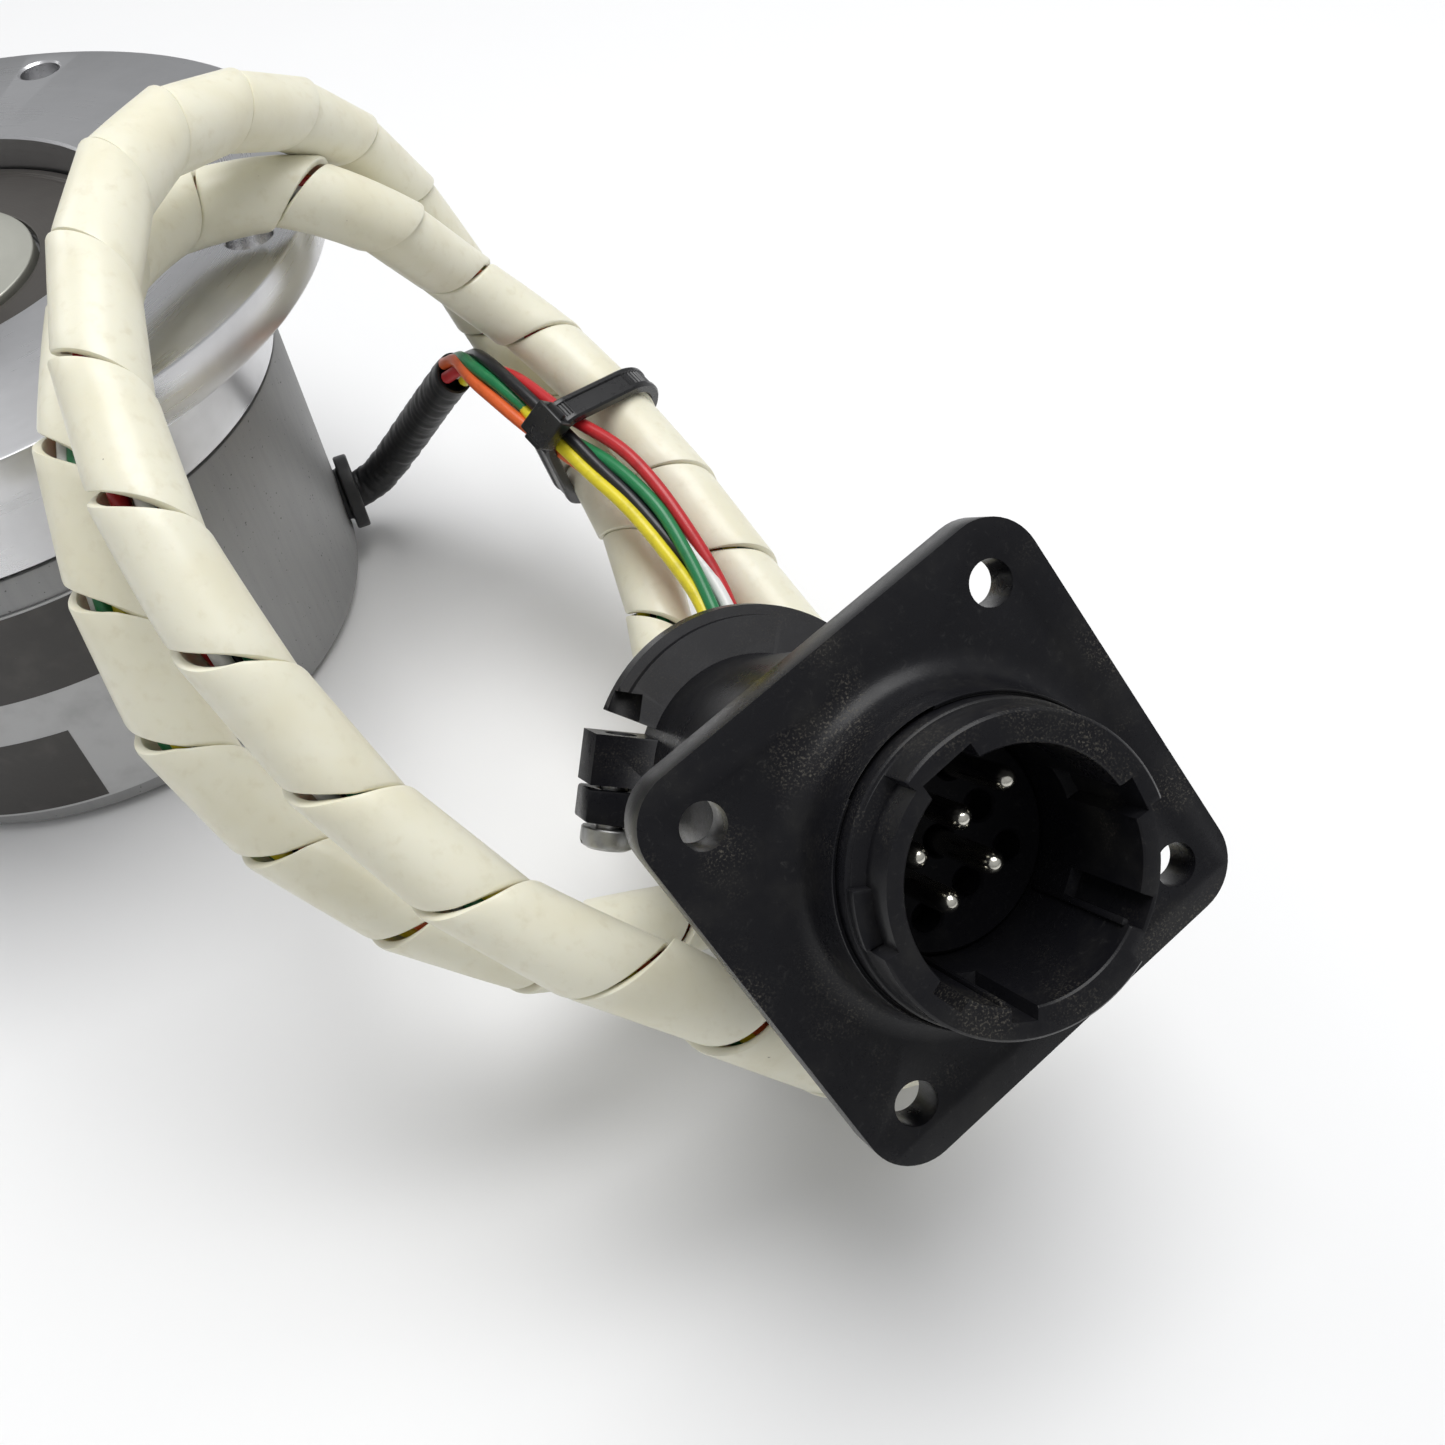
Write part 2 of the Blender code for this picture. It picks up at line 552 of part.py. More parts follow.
def make_tie():
    """A band round the two strands of wrap and the wires between them."""
    aim = Vector(TIE_AIM).normalized()
    middle = Vector(TIE_POS)
    across = aim.cross(Vector((0.0, 0.0, 1.0))).normalized()
    up = aim.cross(across)
    circles = [(spot, WRAP_D / 2.0) for spot in crossing(WRAP_ROUTE, np.array(middle), np.array(aim))]
    wire_spot = crossing(WIRE_ROUTE, np.array(middle), np.array(aim))[0]
    circles.append((wire_spot, WIRE_RING_R + WIRE_D / 2.0))
    flat = []
    for spot, radius in circles:
        offset = Vector(spot) - middle
        flat.append((offset.dot(across), offset.dot(up), radius))

    def outline(extra):
        points = []
        for i in range(44):
            angle = 2.0 * math.pi * i / 44
            ux, uy = math.cos(angle), math.sin(angle)
            x, y, radius = max(flat, key=lambda c: c[0] * ux + c[1] * uy + c[2])
            points.append((x + (radius + extra) * ux, y + (radius + extra) * uy))
        return points

    inside, outside = outline(0.35), outline(0.35 + TIE_T)
    count = len(inside)
    verts = []
    for height in (-TIE_W / 2.0, TIE_W / 2.0):
        verts += [(x, y, height) for x, y in outside]
        verts += [(x, y, height) for x, y in inside]
    faces = []
    for i in range(count):
        j = (i + 1) % count
        faces.append([i, j, j + count, i + count])
        faces.append([i + 2 * count, j + 2 * count, j + 3 * count, i + 3 * count])
        faces.append([i, j, j + 2 * count, i + 2 * count])
        faces.append([i + count, j + count, j + 3 * count, i + 3 * count])
    band = mesh_object("cable_tie", verts, faces)
    wx, wy, wr = flat[-1]
    away = Vector((wx, wy)).normalized()
    start = wr + 0.35 + TIE_T * 0.4
    turn = Matrix.Rotation(math.atan2(away.y, away.x), 4, "Z")
    head = block("head", (start, start + 3.0), (-2.3, 2.3), (-2.2, 2.2))
    join(band, place(head, (wx, wy, 0.0), matrix=turn))
    basis = Matrix((across, up, aim)).transposed().to_4x4()
    dress(place(band, middle, matrix=basis), "soft_black")


def connector_axis():
    x = Vector(PLATE_X).normalized()
    y = Vector(PLATE_Y).normalized()
    z = x.cross(y).normalized()
    y = z.cross(x)
    axis = link("connector_axis", None)
    place(axis, PLATE_POS, matrix=Matrix((x, y, z)).transposed().to_4x4())
    return axis


def make_receptacle(axis):
    profile = [
        (SHELL_BORE_R, SHELL_FRONT), (SHELL_R - 0.3, SHELL_FRONT), (SHELL_R, SHELL_FRONT - 0.3),
        (SHELL_R, LEDGE_Z), (LEDGE_R, LEDGE_Z - 0.2), (LEDGE_R, BOSS_Z), (BOSS_R - 0.2, BOSS_Z),
        (BOSS_R, BOSS_Z - 0.3), (BOSS_R, 1.5), (10.7, 0.5), (11.8, 0.0), (11.8, -1.4),
        (10.6, -3.2), (10.6, SHELL_REAR), (6.4, SHELL_REAR), (6.4, -12.3), (SHELL_BORE_R, -12.3),
    ]
    shell = turned("receptacle_shell", profile, 40)
    plate = prism("plate", rounded_square(PLATE_W, PLATE_CORNER_R), -PLATE_T, 0.0)
    cut(plate, rod("bore", SHELL_R - 0.8, -5.0, 2.0, 40, 0.1))
    join(shell, plate)
    half = PLATE_HOLE_SPACING / 2.0
    for x in (-half, half):
        for y in (-half, half):
            cut(shell, place(rod("hole", PLATE_HOLE_R, -5.0, 2.0, 16, 0.1), (x, y, 0.0)))
    for start, end in LUG_GAPS:
        gap = arc_block("gap", LUG_GAP_R, SHELL_R + 1.0, LEDGE_Z + 0.3, SHELL_FRONT + 1.0, start, end, 10)
        cut(shell, gap)
    for azimuth, width in KEYWAYS:
        slot = block("keyway", (SHELL_BORE_R - 1.0, SHELL_BORE_R + 0.8), (-width / 2.0, width / 2.0),
                     (1.5, SHELL_FRONT + 1.0))
        cut(shell, place(slot, azimuth=azimuth))
    dress(shell, "connector_black", axis)
    insert = rod("contact_insert", SHELL_BORE_R - 0.2, -12.0, INSERT_FACE, 32, 0.2)
    for i in (-1, 0, 1):
        for j in (-1, 0, 1):
            hole = rod("hole", 1.0, INSERT_FACE - 3.0, INSERT_FACE + 1.0, 12, 0.1)
            cut(insert, place(hole, (i * PIN_PITCH, j * PIN_PITCH, 0.0)))
    dress(insert, "connector_black", axis)
    for number, (i, j) in enumerate(PIN_PLACES):
        profile = [
            (0.0, INSERT_FACE - 2.7), (PIN_R, INSERT_FACE - 2.7), (PIN_R, PIN_TIP - 0.8),
            (PIN_R * 0.8, PIN_TIP - 0.3), (PIN_R * 0.4, PIN_TIP), (0.0, PIN_TIP),
        ]
        pin = turned("contact_pin_%d" % (number + 1), profile, 12)
        dress(place(pin, (i * PIN_PITCH, j * PIN_PITCH, 0.0)), "pin_plate", axis)


KEYWAYS = ((181.0, 3.6), (84.0, 2.3), (34.0, 2.0), (323.0, 1.7), (287.0, 2.2))


def make_clamp(axis):
    """The barrel behind the connector, with a half collar, two ears and a saddle held by screws."""
    quarter = Matrix.Rotation(math.radians(45.0), 4, "Z")
    profile = [
        (CLAMP_BORE_R, CLAMP_FRONT), (10.7, CLAMP_FRONT), (11.0, CLAMP_FRONT - 0.4), (11.0, -19.0),
        (9.6, -33.0), (9.6, CLAMP_REAR + 0.3), (9.3, CLAMP_REAR), (CLAMP_BORE_R, CLAMP_REAR),
    ]
    body = turned("clamp_body", profile, 36)
    collar = arc_block("collar", 8.6, CLAMP_RING_R, CLAMP_REAR + 0.05, CLAMP_RING_FRONT, 14.0, 166.0, 18)
    join(body, collar)
    for side in (-1.0, 1.0):
        inner, outer = sorted((side * 8.8, side * 14.6))
        join(body, block("ear", (inner, outer), (-2.5, 1.6), (CLAMP_REAR + 0.05, -33.6)))
    for side in (-1.0, 1.0):
        turn = Matrix.Rotation(math.radians(90.0), 4, "X")
        cut(body, place(rod("bore", 1.35, -5.0, 6.0, 16, 0.1), (side * 12.0, 0.0, -35.8), matrix=turn))
    cut(body, block("mouth", (-10.4, 10.4), (-12.0, -2.6), (CLAMP_REAR - 1.0, -33.2)))
    dress(body, "connector_black", axis)
    body.matrix_local = quarter
    outline = [
        (-14.6, -2.9), (-14.6, -5.6), (-9.0, -5.9), (-6.0, -8.0), (6.0, -8.0), (9.0, -5.9),
        (14.6, -5.6), (14.6, -2.9), (9.5, -2.9), (5.5, -3.8), (-5.5, -3.8), (-9.5, -2.9),
    ]
    saddle = prism("clamp_saddle", outline, CLAMP_REAR + 0.2, -33.8)
    for side in (-1.0, 1.0):
        turn = Matrix.Rotation(math.radians(90.0), 4, "X")
        cut(saddle, place(rod("bore", 1.35, 0.0, 9.0, 16, 0.1), (side * 12.0, 0.0, -35.8), matrix=turn))
    dress(saddle, "connector_black", axis)
    saddle.matrix_local = quarter
    for number, side in enumerate((-1.0, 1.0)):
        profile = [(0.0, -1.2), (1.1, -1.2), (1.1, 6.1), (2.3, 6.1), (2.3, 7.4), (1.8, 7.9), (0.0, 7.9)]
        screw = turned("clamp_screw_%d" % (number + 1), profile, 16)
        cut(screw, block("slot", (-3.0, 3.0), (-0.3, 0.3), (7.3, 9.0)))
        dress(screw, "screw_zinc", axis)
        turn = Matrix.Rotation(math.radians(90.0), 4, "X")
        screw.matrix_local = quarter @ Matrix.Translation(Vector((side * 12.0, 0.0, -35.8)) * MM) @ turn


clear_scene()
make_flange()
make_rotor()
make_bearing("front", FRONT_BEARING_Z)
make_bearing("rear", REAR_BEARING_Z)
make_bearing_keeper()
make_optics()
make_board()
make_cover()
make_lead()
make_tie()
plate_axis = connector_axis()
make_receptacle(plate_axis)
make_clamp(plate_axis)
bpy.context.view_layer.update()
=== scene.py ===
"""Looks of the rotary encoder and its lead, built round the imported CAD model, +Z up along the shaft."""

import math

import bmesh
import bpy
import numpy as np
from mathutils import Matrix, Vector


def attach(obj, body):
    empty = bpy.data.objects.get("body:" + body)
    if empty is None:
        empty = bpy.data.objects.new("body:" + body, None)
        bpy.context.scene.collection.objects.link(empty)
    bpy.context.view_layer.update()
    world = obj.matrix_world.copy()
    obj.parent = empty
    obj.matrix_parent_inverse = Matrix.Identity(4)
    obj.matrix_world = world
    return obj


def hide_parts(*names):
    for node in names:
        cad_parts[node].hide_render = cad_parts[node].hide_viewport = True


MM = 0.001

# Camera: where it stands and its own right, up and back directions
CAMERA_POS = (0.08749, -0.12797, 0.11775)
CAMERA_RIGHT = (0.99419, 0.0, -0.10760)
CAMERA_UP = (0.07127, 0.74918, 0.65852)
CAMERA_BACK = (0.08061, -0.66237, 0.74483)
CAMERA_LENS = 37.37

# Driving sizes, in millimetres
FLANGE_R = 41.275
FLANGE_T = 4.8
FACE_Z = 49.6
BODY_R = 31.75
SEAM_Z = 32.4
RECESS_R = 21.8
RECESS_Z = 44.6
FACE_HOLE_R = 2.2
FACE_HOLE_PITCH_R = 36.75
FACE_HOLE_AZIMUTH = 84.0
SHAFT_R = 4.76
GROMMET_AZIMUTH = 22.0
GROMMET_Z = 6.5
COVER_SCREW_AZIMUTHS = (70.0, -150.0)
COVER_SCREW_Z = 28.0
SLEEVE_D = 4.3
WIRE_D = 1.3
WRAP_D = 6.35
WRAP_WALL = 0.85
TIE_W = 2.8
TIE_T = 1.1
TIE_GAP = 0.17
LOOSE_BUNDLE_R = 2.05

# Connector: the plate's front middle and its two edges' directions
PLATE_POS = (93.63, -72.64, 42.55)
PLATE_X = (0.4916, -0.3893, -0.7790)
PLATE_Y = (0.7817, 0.5915, 0.1978)
PLATE_W = 30.8
PLATE_T = 2.8
PLATE_CORNER_R = 3.6
PLATE_HOLE_R = 1.5
PLATE_HOLE_SPACING = 23.01
SHELL_R = 9.525
SHELL_BORE_R = 7.55
SHELL_FRONT = 9.0
LEDGE_R = 9.85
LEDGE_Z = 6.2
BOSS_R = 10.2
BOSS_Z = 5.1
LUG_GAP_R = 8.65
LUG_GAPS = ((17.0, 78.0), (196.0, 258.0))
INSERT_FACE = -2.0
PIN_PITCH = 3.5
PIN_R = 0.785
PIN_TIP = 5.6
PIN_PLACES = ((-1, 1), (-1, 0), (-1, -1), (0, 0), (0, -1))
KEYWAYS = ((181.0, 3.6), (84.0, 2.3), (34.0, 2.0), (323.0, 1.7), (287.0, 2.2))
CLAMP_REAR = -38.0
CLAMP_SCREW_X = 12.0
CLAMP_SCREW_Z = -35.8

# Cord routes, in millimetres, as in the CAD
SLEEVE_ROUTE = (
    (27.4, 11.1, 6.5), (30.0, 12.1, 6.5), (32.4, 13.0, 6.8), (35.0, 13.4, 8.6),
    (38.0, 12.7, 12.0), (41.5, 10.6, 16.6), (45.5, 7.4, 22.2), (49.3, 4.4, 27.3),
)
WIRE_ROUTE = (
    (49.6, 4.1, 27.7), (50.7, 3.0, 29.1), (53.2, 0.2, 30.6), (57.2, -4.0, 30.9),
    (60.5, -7.5, 30.0), (63.0, -10.0, 29.0), (68.5, -16.0, 27.0), (72.5, -21.5, 24.5),
    (75.5, -26.0, 21.5), (77.5, -30.5, 19.0), (79.4, -34.0, 15.8), (80.5, -35.9, 13.2),
)
WRAP_ROUTE = (
    (80.8, -36.4, 12.4), (81.3, -40.0, 8.4), (79.8, -44.5, 6.2), (77.6, -49.0, 6.6),
    (75.0, -53.2, 9.6), (71.6, -57.2, 13.6), (67.5, -60.4, 16.8), (63.5, -62.2, 18.2),
    (59.0, -62.6, 20.3), (53.3, -61.7, 23.5), (48.0, -60.0, 27.0), (42.5, -57.2, 31.3),
    (37.5, -53.0, 37.0), (34.2, -47.3, 43.5), (32.2, -40.7, 49.6), (31.4, -34.0, 53.6),
    (30.8, -26.5, 55.6), (30.7, -18.7, 56.1), (31.9, -12.0, 55.5), (35.2, -7.0, 54.4),
    (40.8, -4.7, 53.8), (45.8, -3.0, 51.0), (49.4, 0.4, 45.6), (52.2, 3.4, 39.6),
    (56.4, 4.0, 34.4), (61.6, 1.2, 30.4), (67.0, -4.5, 27.2), (72.0, -11.0, 24.2),
    (76.7, -17.6, 20.8), (81.4, -24.3, 16.9), (86.6, -31.3, 13.4), (92.3, -38.4, 9.4),
    (96.6, -46.5, 5.8), (97.4, -55.0, 4.2), (94.2, -63.3, 5.8), (88.0, -68.8, 10.6),
    (81.6, -70.6, 16.6), (76.3, -70.6, 22.2), (71.5, -70.5, 26.8), (66.5, -69.9, 30.6),
    (61.2, -68.0, 34.5), (56.5, -65.6, 38.6), (52.5, -63.0, 43.1), (49.0, -60.1, 48.0),
    (45.5, -56.3, 52.9), (42.4, -51.2, 57.0), (39.5, -44.3, 60.4), (37.4, -36.2, 63.4),
    (36.4, -28.0, 65.1), (36.8, -19.8, 65.6), (39.0, -12.0, 64.3), (42.0, -4.4, 61.0),
    (44.8, 3.0, 55.0), (47.4, 8.9, 46.2), (49.6, 11.6, 37.4), (52.8, 10.4, 29.6),
    (57.3, 5.2, 24.2), (62.0, -1.9, 21.3), (65.5, -8.8, 19.8), (68.0, -15.0, 18.5),
    (69.8, -21.2, 16.9), (71.0, -28.0, 15.0), (72.9, -34.6, 14.2), (75.4, -40.0, 15.9),
    (79.0, -46.0, 20.0), (82.0, -51.6, 24.7), (85.1, -57.3, 29.5),
)
TIE_POS = (64.5, -5.9, 25.6)
TIE_AIM = (0.62, -0.70, -0.35)

# Turns of the wrap made by each distance along it
TURN_MARKS = (
    (0.0, -3.85), (50.0, 0.9), (94.0, 4.85), (118.0, 6.85), (143.0, 9.45), (197.0, 14.65),
    (275.0, 21.95), (342.0, 27.9), (362.0, 29.85), (392.0, 33.4), (430.0, 37.2), (505.6, 44.6),
)

# How far the turns stand apart on the outside of a bend, along the wrap
TURN_GAPS = (
    (0.0, 0.2), (45.0, 0.7), (59.0, 0.9), (70.0, 1.4), (81.0, 1.6), (93.0, 1.4), (105.0, 0.5),
    (118.0, 0.15), (200.0, 0.1), (265.0, 0.6), (297.0, 0.5), (308.0, 0.8), (320.0, 1.2),
    (331.0, 1.2), (342.0, 0.5), (354.0, 0.15), (505.6, 0.1),
)

# Which side of the wire bundle faces up and forwards, and where each wire lies beside the bundle's
# middle: millimetres to its upper side and out of it, at each station along the loose stretch
LAY_UP = (0.08, -0.66, 0.745)
WIRE_STATIONS = (0.0, 3.0, 7.0, 12.0, 16.0, 20.0, 26.0, 34.0, 43.0, 55.0)
WIRE_LAY = {
    "orange": ((1.0, 1.0), (0.0, 1.2), (-1.8, 0.7), (-2.4, 0.2), (-2.4, -0.1), (-2.0, -0.5),
               (-1.4, -1.3), (-0.9, -1.4), (-0.5, -1.4), (-0.6, -1.3)),
    "green": ((1.1, -0.2), (0.5, 0.9), (-0.6, 1.0), (-1.0, 0.5), (-1.1, -0.2), (-0.6, -0.6),
              (0.35, 0.3), (0.85, 0.5), (-0.1, 0.9), (-0.3, 1.4)),
    "black": ((0.5, -1.1), (1.3, -0.5), (0.8, 0.9), (0.0, 1.0), (-0.2, 1.0), (-0.3, 0.8),
              (-0.8, 0.4), (-0.45, 0.1), (0.3, -0.3), (0.0, 0.0)),
    "red": ((-0.5, 1.3), (-1.0, 0.2), (0.2, -0.4), (0.8, 0.1), (0.9, 0.4), (1.1, 0.6),
            (2.1, 0.6), (1.95, 0.2), (1.6, -0.4), (1.0, -1.0)),
    "white": ((-0.3, 0.0), (-0.3, -0.2), (-1.2, -0.3), (-1.5, -0.3), (-1.4, -0.8), (-0.9, -0.9),
              (0.3, -1.0), (0.8, -0.7), (1.2, 0.1), (1.3, 0.6)),
    "yellow": ((-1.2, -0.5), (-0.7, -0.9), (0.0, -0.8), (-0.6, -0.9), (-1.3, 0.3), (-1.5, 0.5),
               (-1.85, 0.4), (-1.35, 0.5), (-0.9, 0.6), (-1.4, 0.2)),
}

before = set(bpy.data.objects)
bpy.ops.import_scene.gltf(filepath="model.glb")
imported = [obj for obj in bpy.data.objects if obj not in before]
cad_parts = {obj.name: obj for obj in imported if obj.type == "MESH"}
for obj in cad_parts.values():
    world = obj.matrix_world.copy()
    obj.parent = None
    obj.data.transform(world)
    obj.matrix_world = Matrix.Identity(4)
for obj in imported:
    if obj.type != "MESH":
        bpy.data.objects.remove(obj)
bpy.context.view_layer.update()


def make_camera():
    data = bpy.data.cameras.new("camera")
    data.lens = CAMERA_LENS
    data.sensor_width = 36.0
    data.clip_start = 0.005
    data.clip_end = 10.0
    camera = link("camera", data)
    basis = Matrix((CAMERA_RIGHT, CAMERA_UP, CAMERA_BACK)).transposed().to_4x4()
    camera.matrix_world = Matrix.Translation(CAMERA_POS) @ basis
    bpy.context.scene.camera = camera


def link(name, data):
    thing = bpy.data.objects.new(name, data)
    bpy.context.scene.collection.objects.link(thing)
    return thing


def clean_faces(thing, sharp, weld=False):
    """Weld doubled points or drop the slivers that a pole leaves, and turn every face outwards."""
    shape = bmesh.new()
    shape.from_mesh(thing.data)
    if weld:
        bmesh.ops.remove_doubles(shape, verts=shape.verts, dist=1e-7)
    else:
        bmesh.ops.dissolve_degenerate(shape, edges=shape.edges, dist=1e-8)
    bmesh.ops.recalc_face_normals(shape, faces=shape.faces)
    shape.to_mesh(thing.data)
    shape.free()
    thing.data.shade_smooth()
    thing.data.set_sharp_from_angle(angle=math.radians(sharp))
    return thing


def mesh_object(name, verts, faces, sharp=35.0):
    """A smooth-shaded mesh from millimetre points, its faces turned outwards."""
    mesh = bpy.data.meshes.new(name)
    mesh.from_pydata([Vector(v) * MM for v in verts], [], faces)
    return clean_faces(link(name, mesh), sharp, weld=True)


def turned(name, profile, steps=160, sharp=35.0):
    """Turn an outline of (radius, height) points about Z; radius 0 at both ends closes it on the axis."""
    closed = profile[0][0] != 0.0
    points = list(profile) + ([profile[0]] if closed else [])
    verts = []
    for radius, height in points:
        for i in range(steps):
            angle = 2.0 * math.pi * i / steps
            verts.append((radius * math.cos(angle), radius * math.sin(angle), height))
    faces = []
    for k in range(len(points) - 1):
        for i in range(steps):
            j = (i + 1) % steps
            faces.append((k * steps + i, k * steps + j, (k + 1) * steps + j, (k + 1) * steps + i))
    return clean_faces(mesh_object(name, verts, faces, sharp), sharp)


def soft_profile(profile, radius, steps=4):
    """Round the corners of a closed outline of (radius, height) points."""
    points = [Vector(p) for p in profile]
    out = []
    for i, here in enumerate(points):
        before = points[i - 1] - here
        after = points[(i + 1) % len(points)] - here
        reach = min(radius, before.length * 0.45, after.length * 0.45)
        start = here + before.normalized() * reach
        end = here + after.normalized() * reach
        for k in range(steps + 1):
            t = k / steps
            out.append(tuple((1 - t) ** 2 * start + 2 * t * (1 - t) * here + t ** 2 * end))
    return out


def prism(name, outline, low, high):
    count = len(outline)
    verts = [(x, y, low) for x, y in outline] + [(x, y, high) for x, y in outline]
    faces = [list(range(count)), list(range(count, 2 * count))]
    for i in range(count):
        j = (i + 1) % count
        faces.append([i, j, j + count, i + count])
    return mesh_object(name, verts, faces)


def rod(radius, low, high, steps=40):
    """A round tool along Z."""
    return turned("rod", [(0.0, low), (radius, low), (radius, high), (0.0, high)], steps)


def block(name, x, y, z):
    outline = [(x[0], y[0]), (x[1], y[0]), (x[1], y[1]), (x[0], y[1])]
    return prism(name, outline, z[0], z[1])


def arc_block(name, inner, outer, low, high, start, end, steps):
    """A piece of ring between two azimuths in degrees."""
    verts = []
    for i in range(steps + 1):
        angle = math.radians(start + (end - start) * i / steps)
        for radius, height in ((inner, low), (outer, low), (outer, high), (inner, high)):
            verts.append((radius * math.cos(angle), radius * math.sin(angle), height))
    faces = [(0, 1, 2, 3), tuple(4 * steps + k for k in range(4))]
    for i in range(steps):
        for k in range(4):
            j = (k + 1) % 4
            faces.append((4 * i + k, 4 * i + j, 4 * i + 4 + j, 4 * i + 4 + k))
    return mesh_object(name, verts, faces)


def apply_modifiers(thing):
    bpy.context.view_layer.update()
    graph = bpy.context.evaluated_depsgraph_get()
    thing.data = bpy.data.meshes.new_from_object(thing.evaluated_get(graph))
    thing.modifiers.clear()


def combine(target, tool, operation):
    modifier = target.modifiers.new(operation.lower(), "BOOLEAN")
    modifier.operation = operation
    modifier.solver = "EXACT"
    modifier.object = tool
    apply_modifiers(target)
    bpy.data.objects.remove(tool)


def cut(target, tool):
    combine(target, tool, "DIFFERENCE")


def join(target, tool):
    combine(target, tool, "UNION")


def soften(thing, width, segments=2, angle=35.0):
    """Round off every sharp edge by a millimetre width, and apply it."""
    thing.data.materials.clear()
    modifier = thing.modifiers.new("soften", "BEVEL")
    modifier.width = width * MM
    modifier.segments = segments
    modifier.limit_method = "ANGLE"
    modifier.angle_limit = math.radians(angle)
    modifier.harden_normals = False
    apply_modifiers(thing)
    thing.data.shade_smooth()
    thing.data.set_sharp_from_angle(angle=math.radians(40.0))
    return thing


def place(thing, location=(0.0, 0.0, 0.0), azimuth=0.0, matrix=None):
    turn = Matrix.Rotation(math.radians(azimuth), 4, "Z") if matrix is None else matrix
    thing.matrix_world = Matrix.Translation(Vector(location) * MM) @ turn
    return thing


def polar(radius, azimuth, height=0.0):
    angle = math.radians(azimuth)
    return (radius * math.cos(angle), radius * math.sin(angle), height)


def rounded_square(width, corner, steps=12):
    half = width / 2.0 - corner
    outline = []
    for quarter, (sx, sy) in enumerate(((1, 1), (-1, 1), (-1, -1), (1, -1))):
        for i in range(steps + 1):
            angle = math.radians(90.0 * (quarter + i / steps))
            outline.append((sx * half + corner * math.cos(angle), sy * half + corner * math.sin(angle)))
    return outline


def show(thing, finish, node=None, body="housing"):
    """Finish a piece: its look, the CAD node it stands for and the body it rides on.

    The slot is the look's own name and the node the piece's own, unless others are given.
    """
    base = thing.name.split(".")[0]
    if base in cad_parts:
        thing.name = base + "_detail"
    bpy.context.view_layer.update()
    thing.data.transform(thing.matrix_world)
    thing.matrix_world = Matrix.Identity(4)
    thing.data.materials.clear()
    thing.data.materials.append(look(finish))
    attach(thing, body)
    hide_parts(node or base)


# ---- materials


